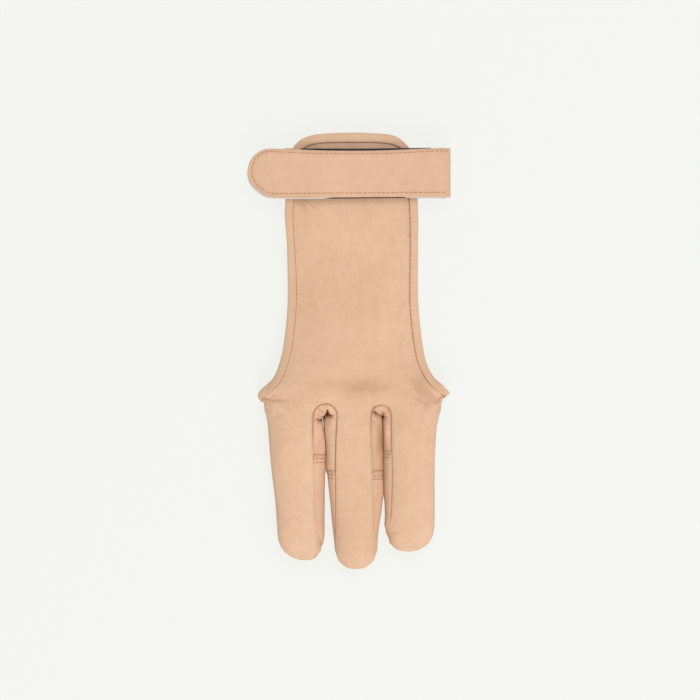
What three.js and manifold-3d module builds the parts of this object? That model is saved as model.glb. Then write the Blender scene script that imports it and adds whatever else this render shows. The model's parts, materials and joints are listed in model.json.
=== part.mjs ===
// Three-finger archery glove, lying on its palm with the back of the hand up.
// X runs across the fingers, Y from the finger tips towards the wrist, Z up. Lengths are in millimetres.
import * as THREE from "three";
import { mergeVertices } from "three/addons/utils/BufferGeometryUtils.js";
import Module from "manifold-3d";

const wasm = await Module();
wasm.setup();

// Leather and tape thicknesses, and the gap that separate pieces keep.
const gloveLeather = 1.2;
const stallLeather = 1.7;
const strapLeather = 1.3;
const bindingLeather = 0.7;
const liningThickness = 0.7;
const tapeThickness = 1.0;
const clearance = 0.35;

// Fingers: widths where they leave the hand, lengths from the webs to the tips.
const ringWidth = 30.35;
const middleWidth = 28.6;
const indexWidth = 28.55;
const ringLength = 77.5;
const middleLength = 82.5;
const indexLength = 73.5;
const fingerHeight = 15.5;
const tipRound = 13.5;
const fingerGap = 0.45;

// Finger stalls: distance from the webs to the edge of each stall.
const ringStallEdge = 26.2;
const middleStallEdge = 34.2;
const indexStallEdge = 24;

// Wrist tail, from the webs to its round end.
const tailLength = 135.25;
const tailWidth = 65;
const tailEndRound = 11;
const mouthHeight = 9.5;
const wristHollow = 4.9;

// Binding, strap and closure.
const bindingWidth = 4.2;
const bindingReach = 2.1;
const strapWidth = 24.8;
const strapFreeEnd = 52.5;
const strapFold = 48.75;
const strapFromTailEnd = 20.15;
const strapWaist = 1;
const liningShow = 0.7;
const hookTapeWidth = 22;
const hookTapeShow = 0.4;
const hookTapeStart = 24;
const hookTapeEnd = 40;
const loopTapeWidth = 25.4;
const loopTapeInset = 5.2;
const sewnTab = 14;

// Heights that follow from the sizes above.
const stallTuck = gloveLeather + clearance;
const widestLine = 0.45 * fingerHeight;
const liningFloor = strapLeather + clearance;
const strapInside = liningFloor + liningThickness;
const wristTop = strapInside + wristHollow + gloveLeather;
const bindingProud = clearance + bindingLeather;
const frontInside = wristTop + 2 * tapeThickness + 3 * clearance;
const palmEdgeLift = bindingProud;
const strapCentre = tailLength - strapFromTailEnd;

// Fullness of the leather's curves: the back's shoulders, the rounding under a finger, the finger tips.
const backFullness = 2.4;
const underFullness = 3;
const tipFullness = 2.4;
const shoulder = 13.5;
const tipPole = 0.36;

// Girth positions round a finger: 0 is the crown, 1 the back's seam, 2 the middle of the palm side.
const widestGirth = 1.5;
const underSeam = 1.72;
const fullGirth = 4;

// Outlines of the fingers. down is a share of the finger's length; left and right say how far each edge
// lies inside the width at the web, and leftSeam and rightSeam how far the back's seam lies inside that edge,
// as shares of the finger's width.
const ringOutline = [
  { down: 0.0, left: 0.0, right: 0.0, leftSeam: 0.0, rightSeam: 0.2 },
  { down: 0.11, left: 0.033, right: 0.0, leftSeam: 0.0, rightSeam: 0.2 },
  { down: 0.27, left: 0.066, right: 0.0, leftSeam: 0.0, rightSeam: 0.2 },
  { down: 0.42, left: 0.1, right: 0.0, leftSeam: 0.0, rightSeam: 0.19 },
  { down: 0.63, left: 0.165, right: 0.01, leftSeam: 0.0, rightSeam: 0.165 },
  { down: 0.83, left: 0.2, right: 0.012, leftSeam: 0.0, rightSeam: 0.14 },
];
const middleOutline = [
  { down: 0.0, left: 0.0, right: 0.0, leftSeam: 0.2, rightSeam: 0.215 },
  { down: 0.2, left: 0.0, right: 0.0, leftSeam: 0.185, rightSeam: 0.23 },
  { down: 0.41, left: 0.003, right: 0.0, leftSeam: 0.165, rightSeam: 0.2 },
  { down: 0.5, left: 0.026, right: 0.0, leftSeam: 0.14, rightSeam: 0.19 },
  { down: 0.6, left: 0.061, right: 0.005, leftSeam: 0.105, rightSeam: 0.165 },
  { down: 0.73, left: 0.096, right: 0.06, leftSeam: 0.07, rightSeam: 0.11 },
  { down: 0.84, left: 0.13, right: 0.095, leftSeam: 0.03, rightSeam: 0.06 },
];
const indexOutline = [
  { down: 0.0, left: 0.0, right: 0.0, leftSeam: 0.115, rightSeam: 0.0 },
  { down: 0.11, left: 0.0, right: 0.06, leftSeam: 0.135, rightSeam: 0.0 },
  { down: 0.27, left: 0.0, right: 0.095, leftSeam: 0.145, rightSeam: 0.0 },
  { down: 0.44, left: 0.0, right: 0.113, leftSeam: 0.145, rightSeam: 0.0 },
  { down: 0.65, left: -0.003, right: 0.113, leftSeam: 0.135, rightSeam: 0.0 },
  { down: 0.82, left: 0.014, right: 0.113, leftSeam: 0.09, rightSeam: 0.0 },
];

// Outline and height of the tail. up is a share of the tail's length; left and right are shares of half its
// width; edge and crown are heights, as shares of the rise from the wrist to the top of the fingers, and
// full says how flat the top is between them.
const tailOutline = [
  { up: 0.0, left: 1.52, right: 1.62, edge: 0.16, crown: 1.0, full: 6.0 },
  { up: 0.03, left: 1.46, right: 1.56, edge: 0.16, crown: 0.98, full: 5.6 },
  { up: 0.054, left: 1.39, right: 1.46, edge: 0.14, crown: 0.95, full: 5.0 },
  { up: 0.083, left: 1.26, right: 1.32, edge: 0.1, crown: 0.91, full: 4.2 },
  { up: 0.113, left: 1.185, right: 1.215, edge: 0.05, crown: 0.86, full: 3.6 },
  { up: 0.15, left: 1.13, right: 1.13, edge: -0.02, crown: 0.8, full: 3.0 },
  { up: 0.2, left: 1.08, right: 1.078, edge: -0.1, crown: 0.7, full: 2.6 },
  { up: 0.28, left: 1.035, right: 1.035, edge: -0.14, crown: 0.54, full: 2.4 },
  { up: 0.38, left: 1.0, right: 1.0, edge: -0.13, crown: 0.36, full: 2.4 },
  { up: 0.53, left: 1.0, right: 1.0, edge: -0.08, crown: 0.16, full: 2.4 },
  { up: 0.66, left: 1.02, right: 1.005, edge: -0.02, crown: 0.04, full: 2.4 },
  { up: 0.75, left: 1.03, right: 1.0, edge: 0.0, crown: 0.0, full: 2.4 },
  { up: 1.0, left: 0.97, right: 0.97, edge: 0.0, crown: 0.0, full: 2.4 },
];

// Corners where the binding turns from the back's flare round the side to the palm edge. out is measured
// from the hand's side and up from the webs, in binding widths, and height in mouth heights. The lean columns
// give the direction that leads away from the leather.
const leftCorner = [
  { out: 0.66, up: 0.95, height: 0.74, leanOut: 0.6, leanUp: 0.75, leanDown: 0.25 },
  { out: 0.58, up: 0.8, height: 0.48, leanOut: 0.55, leanUp: 0.83, leanDown: 0.0 },
  { out: 0.35, up: 0.8, height: 0.23, leanOut: 0.4, leanUp: 0.9, leanDown: 0.0 },
  { out: -0.1, up: 0.82, height: 0.115, leanOut: 0.15, leanUp: 0.98, leanDown: 0.0 },
];
const rightCorner = [
  { out: 0.99, up: 1.43, height: 0.74, leanOut: 0.65, leanUp: 0.72, leanDown: 0.25 },
  { out: 0.92, up: 1.31, height: 0.48, leanOut: 0.6, leanUp: 0.8, leanDown: 0.0 },
  { out: 0.63, up: 1.29, height: 0.23, leanOut: 0.45, leanUp: 0.88, leanDown: 0.0 },
  { out: 0.06, up: 1.29, height: 0.115, leanOut: 0.2, leanUp: 0.97, leanDown: 0.0 },
];
const cornerLeg = 0.62;
const palmStations = 7;
const leftFlare = 0.042;
const rightFlare = 0.058;

// Value of one column of a table at a position, on a smooth curve through its rows.
function follow(table, position, column, at) {
  const last = table.length - 1;
  let row = 0;
  while (row < last - 1 && at > table[row + 1][position]) row += 1;
  const slope = (index) => {
    const before = table[Math.max(0, index - 1)];
    const after = table[Math.min(last, index + 1)];
    return (after[column] - before[column]) / (after[position] - before[position]);
  };
  const start = table[row];
  const end = table[row + 1];
  const span = end[position] - start[position];
  const t = THREE.MathUtils.clamp((at - start[position]) / span, 0, 1);
  const startWeight = 1 - t * t * (3 - 2 * t);
  const slopes = slope(row) * t * (1 - t) * (1 - t) - slope(row + 1) * t * t * (1 - t);
  return start[column] * startWeight + end[column] * (1 - startWeight) + slopes * span;
}

const smoothStep = (value, low, high) => THREE.MathUtils.smoothstep(value, low, high);
const mix = THREE.MathUtils.lerp;
const power = (value, exponent) => Math.pow(Math.max(0, value), exponent);

// The fingers from left to right, each with the place of its two edges at the web.
const handWidth = ringWidth + middleWidth + indexWidth + 2 * fingerGap;
const fingers = {
  ring: { width: ringWidth, length: ringLength, stall: ringStallEdge, outline: ringOutline, pole: 0.66 },
  middle: { width: middleWidth, length: middleLength, stall: middleStallEdge, outline: middleOutline, pole: 0.525 },
  index: { width: indexWidth, length: indexLength, stall: indexStallEdge, outline: indexOutline, pole: 0.415 },
};
let nextEdge = -handWidth / 2;
for (const finger of Object.values(fingers)) {
  finger.left = nextEdge;
  finger.right = nextEdge + finger.width;
  nextEdge = finger.right + fingerGap;
}
fingers.ring.outer = -1;
fingers.middle.outer = 0;
fingers.index.outer = 1;

// A web between two fingers: the back's seam runs over it in an arch.
function webBetween(leftFinger, rightFinger) {
  const leftLeg = leftFinger.right - leftFinger.width * leftFinger.outline[0].rightSeam;
  const rightLeg = rightFinger.left + rightFinger.width * rightFinger.outline[0].leftSeam;
  return {
    leftFinger,
    rightFinger,
    centre: (leftLeg + rightLeg) / 2,
    reach: (rightLeg - leftLeg) / 2,
    line: (leftFinger.right + rightFinger.left) / 2,
  };
}
const ringWeb = webBetween(fingers.ring, fingers.middle);
const indexWeb = webBetween(fingers.middle, fingers.index);
fingers.ring.rightWeb = ringWeb;
fingers.middle.leftWeb = ringWeb;
fingers.middle.rightWeb = indexWeb;
fingers.index.leftWeb = indexWeb;

// Rise of the back from its widest line to its top, at a distance in from an edge.
function backRise(distance) {
  const rest = 1 - THREE.MathUtils.clamp(distance / shoulder, 0, 1);
  return power(1 - power(rest, backFullness), 1 / backFullness);
}

// Edges and seams of a finger at a height y on the hand. Webs are at y = 0 and tips are below it.
function fingerEdges(finger, y) {
  const down = THREE.MathUtils.clamp(-y / finger.length, 0, 1);
  const share = (column) => finger.width * follow(finger.outline, "down", column, down);
  const left = finger.left + share("left");
  const right = finger.right - share("right");
  const edges = { left, right, middle: (left + right) / 2, leftSeam: left, rightSeam: right };
  for (const side of ["left", "right"]) {
    const web = finger[`${side}Web`];
    if (!web) continue;
    const inwards = side === "left" ? 1 : -1;
    edges[`${side}Seam`] = edges[side] + inwards * share(`${side}Seam`);
    if (y > -web.reach) {
      const across = web.reach * web.reach - (y + web.reach) ** 2;
      edges[`${side}Seam`] = web.centre + inwards * Math.sqrt(Math.max(0, across));
    }
  }
  return edges;
}

// Height of the back over the fingers and the webs, seen from above.
function backHeight(x, y, finger, edges) {
  const outerLeft = backRise(x - (finger === fingers.ring ? edges.left : -handWidth / 2));
  const outerRight = backRise((finger === fingers.index ? edges.right : handWidth / 2) - x);
  let rise = outerLeft * outerRight;
  for (const web of [ringWeb, indexWeb]) {
    const beside = web.leftFinger === finger || web.rightFinger === finger;
    let edge = web.line;
    if (web.leftFinger === finger) edge = edges.right;
    if (web.rightFinger === finger) edge = edges.left;
    if (beside || !finger) rise *= backRise(Math.hypot(x - edge, Math.max(0, y + web.reach)));
  }
  return widestLine + (fingerHeight - widestLine) * rise;
}

// Angle round an outer side, from the crown at 90 degrees, past the widest line to the sole at 270.
function outerAngle(girth) {
  if (girth <= 1) return 90 + 70 * girth;
  if (girth <= underSeam) return 160 + (60 * (girth - 1)) / (underSeam - 1);
  return 220 + (50 * (girth - underSeam)) / (2 - underSeam);
}

// The rounding from the widest line to the flat sole: how far in and how high, for an angle in radians.
function underCurve(halfWidth, angle) {
  const inwards = halfWidth * (1 - power(Math.cos(angle), 2 / underFullness));
  const height = widestLine * (1 - Math.min(1, 1.05 * power(Math.sin(angle), 2 / underFullness)));
  return { inwards, height };
}

// Point on a finger's skin. girth runs from -2 to 2 through the crown at 0, negative on the left.
function fingerPoint(finger, y, girth, tuck = 0) {
  const tipStart = tipRound - finger.length;
  const sectionY = Math.max(y, tipStart);
  const edges = fingerEdges(finger, sectionY);
  const side = girth < 0 ? "left" : "right";
  const sideways = girth < 0 ? -1 : 1;
  const amount = Math.abs(girth);
  const edge = edges[side];
  const halfWidth = Math.abs(edge - edges.middle);
  const point = new THREE.Vector3(0, sectionY, 0);
  if (finger.outer === sideways) {
    const angle = THREE.MathUtils.degToRad(outerAngle(amount) - 90);
    if (angle <= Math.PI / 2) {
      point.x = edges.middle + sideways * halfWidth * power(Math.sin(angle), 2 / backFullness);
      point.z = backHeight(point.x, sectionY, finger, edges);
    } else {
      const under = underCurve(halfWidth, angle - Math.PI / 2);
      point.x = edge - sideways * under.inwards;
      point.z = under.height;
    }
  } else {
    const seam = edges[`${side}Seam`];
    const seamHeight = backHeight(seam, sectionY, finger, edges);
    if (amount <= 1) {
      point.x = mix(edges.middle, seam, amount);
      point.z = backHeight(point.x, sectionY, finger, edges);
    } else if (amount <= widestGirth) {
      const angle = ((amount - 1) / (widestGirth - 1)) * (Math.PI / 2);
      point.x = mix(seam, edge, Math.sin(angle));
      point.z = mix(widestLine, seamHeight, Math.cos(angle));
    } else {
      const under = underCurve(halfWidth, (amount - widestGirth) * Math.PI);
      point.x = edge - sideways * under.inwards;
      point.z = under.height;
    }
  }
  if (y < tipStart) {
    const towardsTip = (tipStart - y) / tipRound;
    const shrink = power(1 - power(towardsTip, tipFullness), 1 / tipFullness);
    const poleX = finger.left + finger.width * finger.pole;
    const poleZ = tipPole * fingerHeight - 1.4 * tuck;
    point.set(mix(poleX, point.x, shrink), y + tuck * (1 - shrink), mix(poleZ, point.z, shrink));
  }
  return point;
}

// Same finger skin, with the girth counted on round the sole: 2 is the sole's middle, 4 the crown again.
const roundPoint = (finger, y, turn, tuck) => fingerPoint(finger, y, turn > 2 ? turn - fullGirth : turn, tuck);

// A turn that lies one clearance further round the finger than another.
function clearTurn(finger, y, turn, direction, distance = clearance) {
  const nudge = 0.01 * direction;
  const speed = roundPoint(finger, y, turn).distanceTo(roundPoint(finger, y, turn + nudge)) / Math.abs(nudge);
  return turn + (direction * distance) / Math.max(speed, 5);
}

// Where the back's seam lies on a finger's side: it slips under the finger on the way to the tip.
function seamGirth(finger, y) {
  const tipStart = tipRound - finger.length;
  return mix(1, underSeam, smoothStep(-y, -tipStart + 0.1 * tipRound, -tipStart + 0.85 * tipRound));
}

// Distance down a finger of its tip's rows, closer together towards the end.
function tipRows(finger, count) {
  const rows = [];
  for (let index = 1; index <= count; index += 1) {
    rows.push(tipRound - finger.length - tipRound * Math.sin((index / count) * (Math.PI / 2)));
  }
  return rows;
}

// Half width and end of the tail, and a point on its upper surface. across runs from -1 to 1.
function tailPoint(y, across, inset) {
  const up = y / tailLength;
  const side = across < 0 ? "left" : "right";
  const half = (tailWidth / 2) * follow(tailOutline, "up", side, up);
  const place = across * (1 - inset / half);
  const endShare = smoothStep(y, 0.55 * tailLength, tailLength);
  const drop = tailEndRound * (1 - Math.sqrt(Math.max(0, 1 - across ** 4)));
  const rise = fingerHeight - wristTop;
  const edge = wristTop + rise * follow(tailOutline, "up", "edge", up);
  const crown = wristTop + rise * follow(tailOutline, "up", "crown", up);
  const full = follow(tailOutline, "up", "full", up);
  const height = edge + (crown - edge) * (1 - power(Math.abs(place), full));
  return new THREE.Vector3(place * half, y - (drop + inset) * endShare, height);
}

// The whole back above the webs: the tail's sheet, dimpled where it runs over the webs.
function handBackPoint(y, across, inset) {
  const point = tailPoint(y, across, inset);
  for (const web of [ringWeb, indexWeb]) {
    const distance = Math.hypot(point.x - web.line, Math.max(0, point.y + web.reach));
    point.z -= (fingerHeight - widestLine) * (1 - backRise(distance));
  }
  return point;
}

// Edge of the leather all round the mouth and the tail, as the binding's nose follows it. Each station has
// a point and the direction that leads away from the leather.
function edgeStations() {
  const stations = [];
  const add = (point, away, leg = 1) => stations.push({ point, away: away.normalize(), leg });
  const corner = (rows, side) => rows.map((row) => ({
    point: new THREE.Vector3(
      side * (handWidth / 2 + row.out * bindingWidth),
      row.up * bindingWidth,
      row.height * mouthHeight,
    ),
    away: new THREE.Vector3(side * row.leanOut, row.leanUp, -row.leanDown),
  }));
  const sideRows = [0.08, 0.1, 0.125, 0.155, 0.19, 0.24, 0.3, 0.38, 0.47, 0.56, 0.65, 0.74, 0.82, 0.89, 0.95];
  const sideStation = (up, side) => {
    const y = up * tailLength;
    const point = handBackPoint(y, side, 0);
    const inside = handBackPoint(y, side * (1 - (1.5 * bindingWidth) / tailWidth), 0);
    const ahead = handBackPoint(y + 1, side, 0).sub(point);
    const away = point.clone().sub(inside);
    away.addScaledVector(ahead, -away.dot(ahead) / ahead.lengthSq());
    return { point, away };
  };
  const leftRows = corner(leftCorner, -1);
  const rightRows = corner(rightCorner, 1);
  for (const row of [...leftRows].reverse()) add(row.point, row.away, cornerLeg);
  for (const up of [leftFlare, 0.06, ...sideRows]) {
    const station = sideStation(up, -1);
    add(station.point, station.away, up < 0.05 ? mix(cornerLeg, 1, 0.4) : 1);
  }
  const endSteps = 12;
  for (let index = 0; index <= endSteps; index += 1) {
    const turn = mix(-80, 80, index / endSteps);
    const angle = THREE.MathUtils.degToRad(turn);
    const across = Math.sign(turn) * Math.sqrt(Math.abs(Math.sin(angle)));
    add(handBackPoint(tailLength, across, 0), new THREE.Vector3(Math.sin(angle), Math.cos(angle), 0));
  }
  for (const up of [rightFlare, ...sideRows].reverse()) {
    const station = sideStation(up, 1);
    add(station.point, station.away, up < 0.06 ? mix(cornerLeg, 1, 0.4) : 1);
  }
  for (const row of rightRows) add(row.point, row.away, cornerLeg);
  const start = rightRows[rightRows.length - 1].point;
  const end = leftRows[leftRows.length - 1].point;
  for (let index = 1; index <= palmStations; index += 1) {
    const point = start.clone().lerp(end, index / (palmStations + 1));
    point.z = palmEdgeLift;
    add(point, new THREE.Vector3(0, 1, 0));
  }
  return stations;
}
const edgeLoop = edgeStations();
const cornerCount = leftCorner.length + 1;

// Point on the leather's edge under the binding, one reach in from the nose, at a station of the loop.
function underBinding(station) {
  return station.point.clone().addScaledVector(station.away, -bindingReach);
}
const leftCornerStations = edgeLoop.slice(0, cornerCount).reverse();
const rightCornerStart = edgeLoop.length - palmStations - cornerCount;
const rightCornerStations = edgeLoop.slice(rightCornerStart, rightCornerStart + cornerCount);

// Closed solid from an open surface: the surface, its copy moved in by a thickness, and a rim between them.
function thicken(openFaces, thickness) {
  const positions = [];
  const triangles = [];
  const keys = new Map();
  const indexOf = (point) => {
    const key = point.toArray().map((value) => Math.round(value * 2000)).join(",");
    if (!keys.has(key)) {
      keys.set(key, positions.length);
      positions.push(point.clone());
    }
    return keys.get(key);
  };
  for (const [first, second, third] of openFaces) {
    const corners = [indexOf(first), indexOf(second), indexOf(third)];
    if (new Set(corners).size === 3) triangles.push(corners);
  }
  const normals = positions.map(() => new THREE.Vector3());
  const edges = new Map();
  for (const corners of triangles) {
    const points = corners.map((index) => positions[index]);
    const normal = points[1].clone().sub(points[0]).cross(points[2].clone().sub(points[0])).normalize();
    corners.forEach((index, place) => {
      const next = points[(place + 1) % 3].clone().sub(points[place]);
      const previous = points[(place + 2) % 3].clone().sub(points[place]);
      normals[index].addScaledVector(normal, next.angleTo(previous));
      const following = corners[(place + 1) % 3];
      const key = `${index},${following}`;
      const reverse = `${following},${index}`;
      if (edges.has(reverse)) edges.delete(reverse);
      else edges.set(key, [index, following]);
    });
  }
  const inner = positions.map((point, index) => (
    point.clone().addScaledVector(normals[index].normalize(), -thickness)
  ));
  const count = positions.length;
  const faces = [...triangles];
  for (const [first, second, third] of triangles) faces.push([first + count, third + count, second + count]);
  for (const [start, end] of edges.values()) {
    faces.push([start, start + count, end + count]);
    faces.push([start, end + count, end]);
  }
  const vertices = [...positions, ...inner];
  const values = new Float32Array(faces.flat().flatMap((index) => vertices[index].toArray()));
  const geometry = new THREE.BufferGeometry();
  geometry.setAttribute("position", new THREE.BufferAttribute(values, 3));
  return mergeVertices(geometry, 1e-4);
}

// Triangles of a grid of points, rows by columns, facing the side from which columns run left to right
// while rows run upwards.
function gridFaces(grid) {
  const faces = [];
  for (let row = 0; row + 1 < grid.length; row += 1) {
    const lower = grid[row];
    const upper = grid[row + 1];
    for (let column = 0; column + 1 < lower.length; column += 1) {
      faces.push([lower[column], lower[column + 1], upper[column + 1]]);
      faces.push([lower[column], upper[column + 1], upper[column]]);
    }
  }
  return faces;
}

const bodyRows = (finger, count) => {
  const start = -Math.max(ringWeb.reach, indexWeb.reach);
  const end = tipRound - finger.length;
  return Array.from({ length: count }, (_, index) => mix(start, end, (index + 1) / count));
};

// Heights of the rows that follow the webs' arches, from the apex down.
function archRows(reach, count) {
  const rows = [];
  for (let index = 1; index <= count; index += 1) {
    rows.push(-reach * (1 - Math.cos((index / count) * (Math.PI / 2))));
  }
  return rows;
}

// Back panel: three finger lobes below the webs, then the side walls, hand and tail above them.
function backPanelFaces() {
  const outerColumns = [underSeam, underSeam - 0.07, 1.36, 1, 0.74, 0.48, 0.24, 0];
  const innerColumns = [0.35, 0.7, 0.93, 1];
  const columns = {
    ring: [...outerColumns.map((girth) => -girth), ...innerColumns],
    middle: [-1, -0.93, -0.7, -0.35, 0, 0.35, 0.7, 0.93, 1],
    index: [...innerColumns.map((girth) => -girth).reverse(), ...[...outerColumns].reverse()],
  };
  const deepest = Math.max(ringWeb.reach, indexWeb.reach);
  const lobePoint = (finger, y, girth) => {
    const inner = finger.outer === 0 || Math.sign(girth) !== finger.outer;
    return fingerPoint(finger, y, inner ? girth * seamGirth(finger, y) : girth);
  };
  const faces = [];
  const webRow = [];
  for (const [name, finger] of Object.entries(fingers)) {
    const rows = [0, ...archRows(deepest, 4), ...bodyRows(finger, 8), ...tipRows(finger, 5)];
    const grid = rows.map((y) => columns[name].map((girth) => lobePoint(finger, y, girth)));
    const shared = webRow.length ? [webRow.pop()] : [];
    if (shared.length) grid[0][0] = shared[0];
    webRow.push(...grid[0]);
    faces.push(...gridFaces(grid.reverse()));
  }
  const wall = outerColumns.indexOf(1);
  const last = webRow.length - 1;
  const sidePlaces = [2.6, 2.45, 1.9, 0.6];
  const legDepth = bindingWidth * cornerLeg + clearance;
  const cornerPoint = (stations, place, depth) => {
    const low = Math.floor(place);
    const [start, end] = [stations[low], stations[low + 1]];
    const point = start.point.clone().lerp(end.point, place - low);
    return point.addScaledVector(start.away.clone().lerp(end.away, place - low).normalize(), -depth);
  };
  const cornerRow = (depth) => webRow.map((point, index) => {
    if (index <= wall) return cornerPoint(leftCornerStations, sidePlaces[index], depth);
    if (index >= last - wall) return cornerPoint(rightCornerStations, sidePlaces[last - index], depth);
    return null;
  });
  const mouthRow = cornerRow(bindingReach);
  const legRow = cornerRow(legDepth);
  const leftEnd = mouthRow[wall];
  const rightEnd = mouthRow[last - wall];
  const shares = webRow.map((point) => (point.x - webRow[wall].x) / (webRow[last - wall].x - webRow[wall].x));
  for (let index = wall + 1; index < last - wall; index += 1) {
    const y = mix(leftEnd.y, rightEnd.y, shares[index]);
    mouthRow[index] = handBackPoint(y, 2 * shares[index] - 1, bindingReach);
    mouthRow[index].x = mix(leftEnd.x, rightEnd.x, shares[index]);
  }
  for (let index = wall + 1; index < last - wall; index += 1) {
    legRow[index] = webRow[index].clone().lerp(mouthRow[index], 0.5);
    legRow[index].z = handBackPoint(legRow[index].y, 2 * shares[index] - 1, 0).z;
  }
  faces.push(...gridFaces([webRow, legRow, mouthRow]));
  const tailRows = [0.058, 0.083, 0.115, 0.15, 0.19, 0.24, 0.3, 0.38, 0.48, 0.58, 0.68, 0.77, 0.85, 0.92, 0.97, 1];
  const tailGrid = [mouthRow.slice(wall, last - wall + 1)];
  for (const up of tailRows) {
    const row = [];
    for (let index = wall; index <= last - wall; index += 1) {
      row.push(handBackPoint(up * tailLength, 2 * shares[index] - 1, bindingReach));
    }
    tailGrid.push(row);
  }
  faces.push(...gridFaces(tailGrid));
  return faces;
}

// Palm panel: flat on the surface, with its edge lifted to sit inside the binding.
function palmPanelFaces() {
  const shares = [0, 0.035, 0.14, 0.3, 0.5, 0.7, 0.86, 0.965, 1];
  const faces = [];
  const webRow = [];
  const reachUnder = (web) => {
    const half = (web.leftFinger.width + web.rightFinger.width) / 4;
    const under = underCurve(half, (underSeam - widestGirth) * Math.PI);
    return under.inwards + fingerGap / 2 + 1.3 * clearance;
  };
  const floorRise = (x, y) => {
    let height = 0;
    for (const web of [ringWeb, indexWeb]) {
      const half = (web.leftFinger.width + web.rightFinger.width) / 4;
      const distance = Math.hypot(x - web.line, Math.max(0, y + web.reach)) - fingerGap / 2;
      const rest = THREE.MathUtils.clamp(1 - distance / half, 0, 1);
      const low = power(1 - power(rest, underFullness), 1 / underFullness);
      height = Math.max(height, widestLine * (1 - Math.min(1, 1.05 * low)));
    }
    return height;
  };
  const junction = Math.max(-ringWeb.reach + reachUnder(ringWeb), -indexWeb.reach + reachUnder(indexWeb));
  const start = -Math.max(ringWeb.reach, indexWeb.reach);
  for (const finger of Object.values(fingers)) {
    const span = (y) => {
      const outer = (side) => {
        const seam = side * underSeam + (side < 0 ? fullGirth : 0);
        const clear = clearTurn(finger, y, seam, side, 5 * clearance);
        return roundPoint(finger, y, clear).x;
      };
      const inner = (web, side) => {
        const reach = reachUnder(web);
        const across = reach * reach - Math.max(0, y + web.reach) ** 2;
        if (y <= -web.reach) return outer(side);
        return web.line - side * Math.sqrt(Math.max(0, across));
      };
      const left = finger.leftWeb ? inner(finger.leftWeb, -1) : outer(-1);
      const right = finger.rightWeb ? inner(finger.rightWeb, 1) : outer(1);
      return { left, right };
    };
    const arch = archRows(junction - start, 3).map((y) => y + junction);
    const bodyEnd = clearance / 2 - finger.stall;
    const body = [0.33, 0.66, 1].map((share) => mix(start, bodyEnd, share));
    const grid = [junction, ...arch, ...body].map((y) => {
      const { left, right } = span(y);
      return shares.map((share) => {
        if (y < start - 0.01) {
          const leftTurn = clearTurn(finger, y, fullGirth - underSeam, -1);
          const rightTurn = clearTurn(finger, y, underSeam, 1);
          return roundPoint(finger, y, mix(leftTurn, rightTurn, share));
        }
        const x = mix(left, right, share);
        return new THREE.Vector3(x, y, 0).setZ(palmHeight(finger, x, y, floorRise));
      });
    });
    if (webRow.length) grid[0][0] = webRow.pop();
    webRow.push(...grid[0]);
    faces.push(...gridFaces(grid));
  }
  const loopPoint = (stations) => underBinding(stations[cornerCount - 1]);
  const leftEnd = loopPoint(leftCornerStations);
  const rightEnd = loopPoint(rightCornerStations);
  const last = webRow.length - 1;
  const mouthRow = webRow.map((point, index) => {
    const share = (point.x - webRow[0].x) / (webRow[last].x - webRow[0].x);
    return leftEnd.clone().lerp(rightEnd, share).setZ(palmEdgeLift);
  });
  const legEnd = leftEnd.y + bindingReach - bindingWidth - clearance;
  const sideEnd = (finger, side) => {
    const seam = side * underSeam + (side < 0 ? fullGirth : 0);
    const turn = clearTurn(finger, legEnd, seam, side, 6 * clearance);
    return roundPoint(finger, legEnd, turn);
  };
  const legLeft = sideEnd(fingers.ring, -1);
  const legRight = sideEnd(fingers.index, 1);
  const legRow = webRow.map((point, index) => {
    const share = (point.x - webRow[0].x) / (webRow[last].x - webRow[0].x);
    const place = legLeft.clone().lerp(legRight, share);
    return place.setZ(palmHeight(null, place.x, place.y, floorRise));
  });
  faces.push(...gridFaces([mouthRow, legRow, webRow]));
  return faces;
}

// Height of the sole at a place, counting the outer sides' rounding too.
function palmHeight(finger, x, y, floorRise) {
  let height = floorRise(x, y);
  for (const side of [fingers.ring, fingers.index]) {
    if (finger && finger !== side) continue;
    const edges = fingerEdges(side, y);
    const edge = side.outer < 0 ? edges.left : edges.right;
    const half = (edges.right - edges.left) / 2;
    const rest = THREE.MathUtils.clamp(1 - Math.abs(x - edge) / half, 0, 1);
    const low = power(1 - power(rest, underFullness), 1 / underFullness);
    height = Math.max(height, widestLine * (1 - Math.min(1, 1.05 * low)));
  }
  const lift = palmEdgeLift * (1 - smoothStep(-y, bindingReach / 2, ringWeb.reach));
  return Math.max(height, lift);
}

// Finger stall: the sole and both sides of a finger tip, closed at the end.
function stallFaces(finger) {
  const shares = [0, 0.03, 0.1, 0.2, 0.34, 0.5, 0.66, 0.8, 0.9, 0.97, 1];
  const bodyEnd = tipRound - finger.length;
  const top = -finger.stall - clearance / 2;
  const body = [0, 0.25, 0.5, 0.75, 1].map((share) => mix(top, bodyEnd, share));
  const grid = [...body, ...tipRows(finger, 5)].map((y) => {
    const right = finger.outer > 0 ? underSeam : seamGirth(finger, y);
    const left = fullGirth - (finger.outer < 0 ? underSeam : seamGirth(finger, y));
    const gap = y < bodyEnd ? 4 * clearance : clearance;
    const start = clearTurn(finger, y, right, 1, gap);
    const end = clearTurn(finger, y, left, -1, gap);
    return shares.map((share) => roundPoint(finger, y, mix(end, start, share), stallTuck));
  });
  return gridFaces(grid);
}

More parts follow.
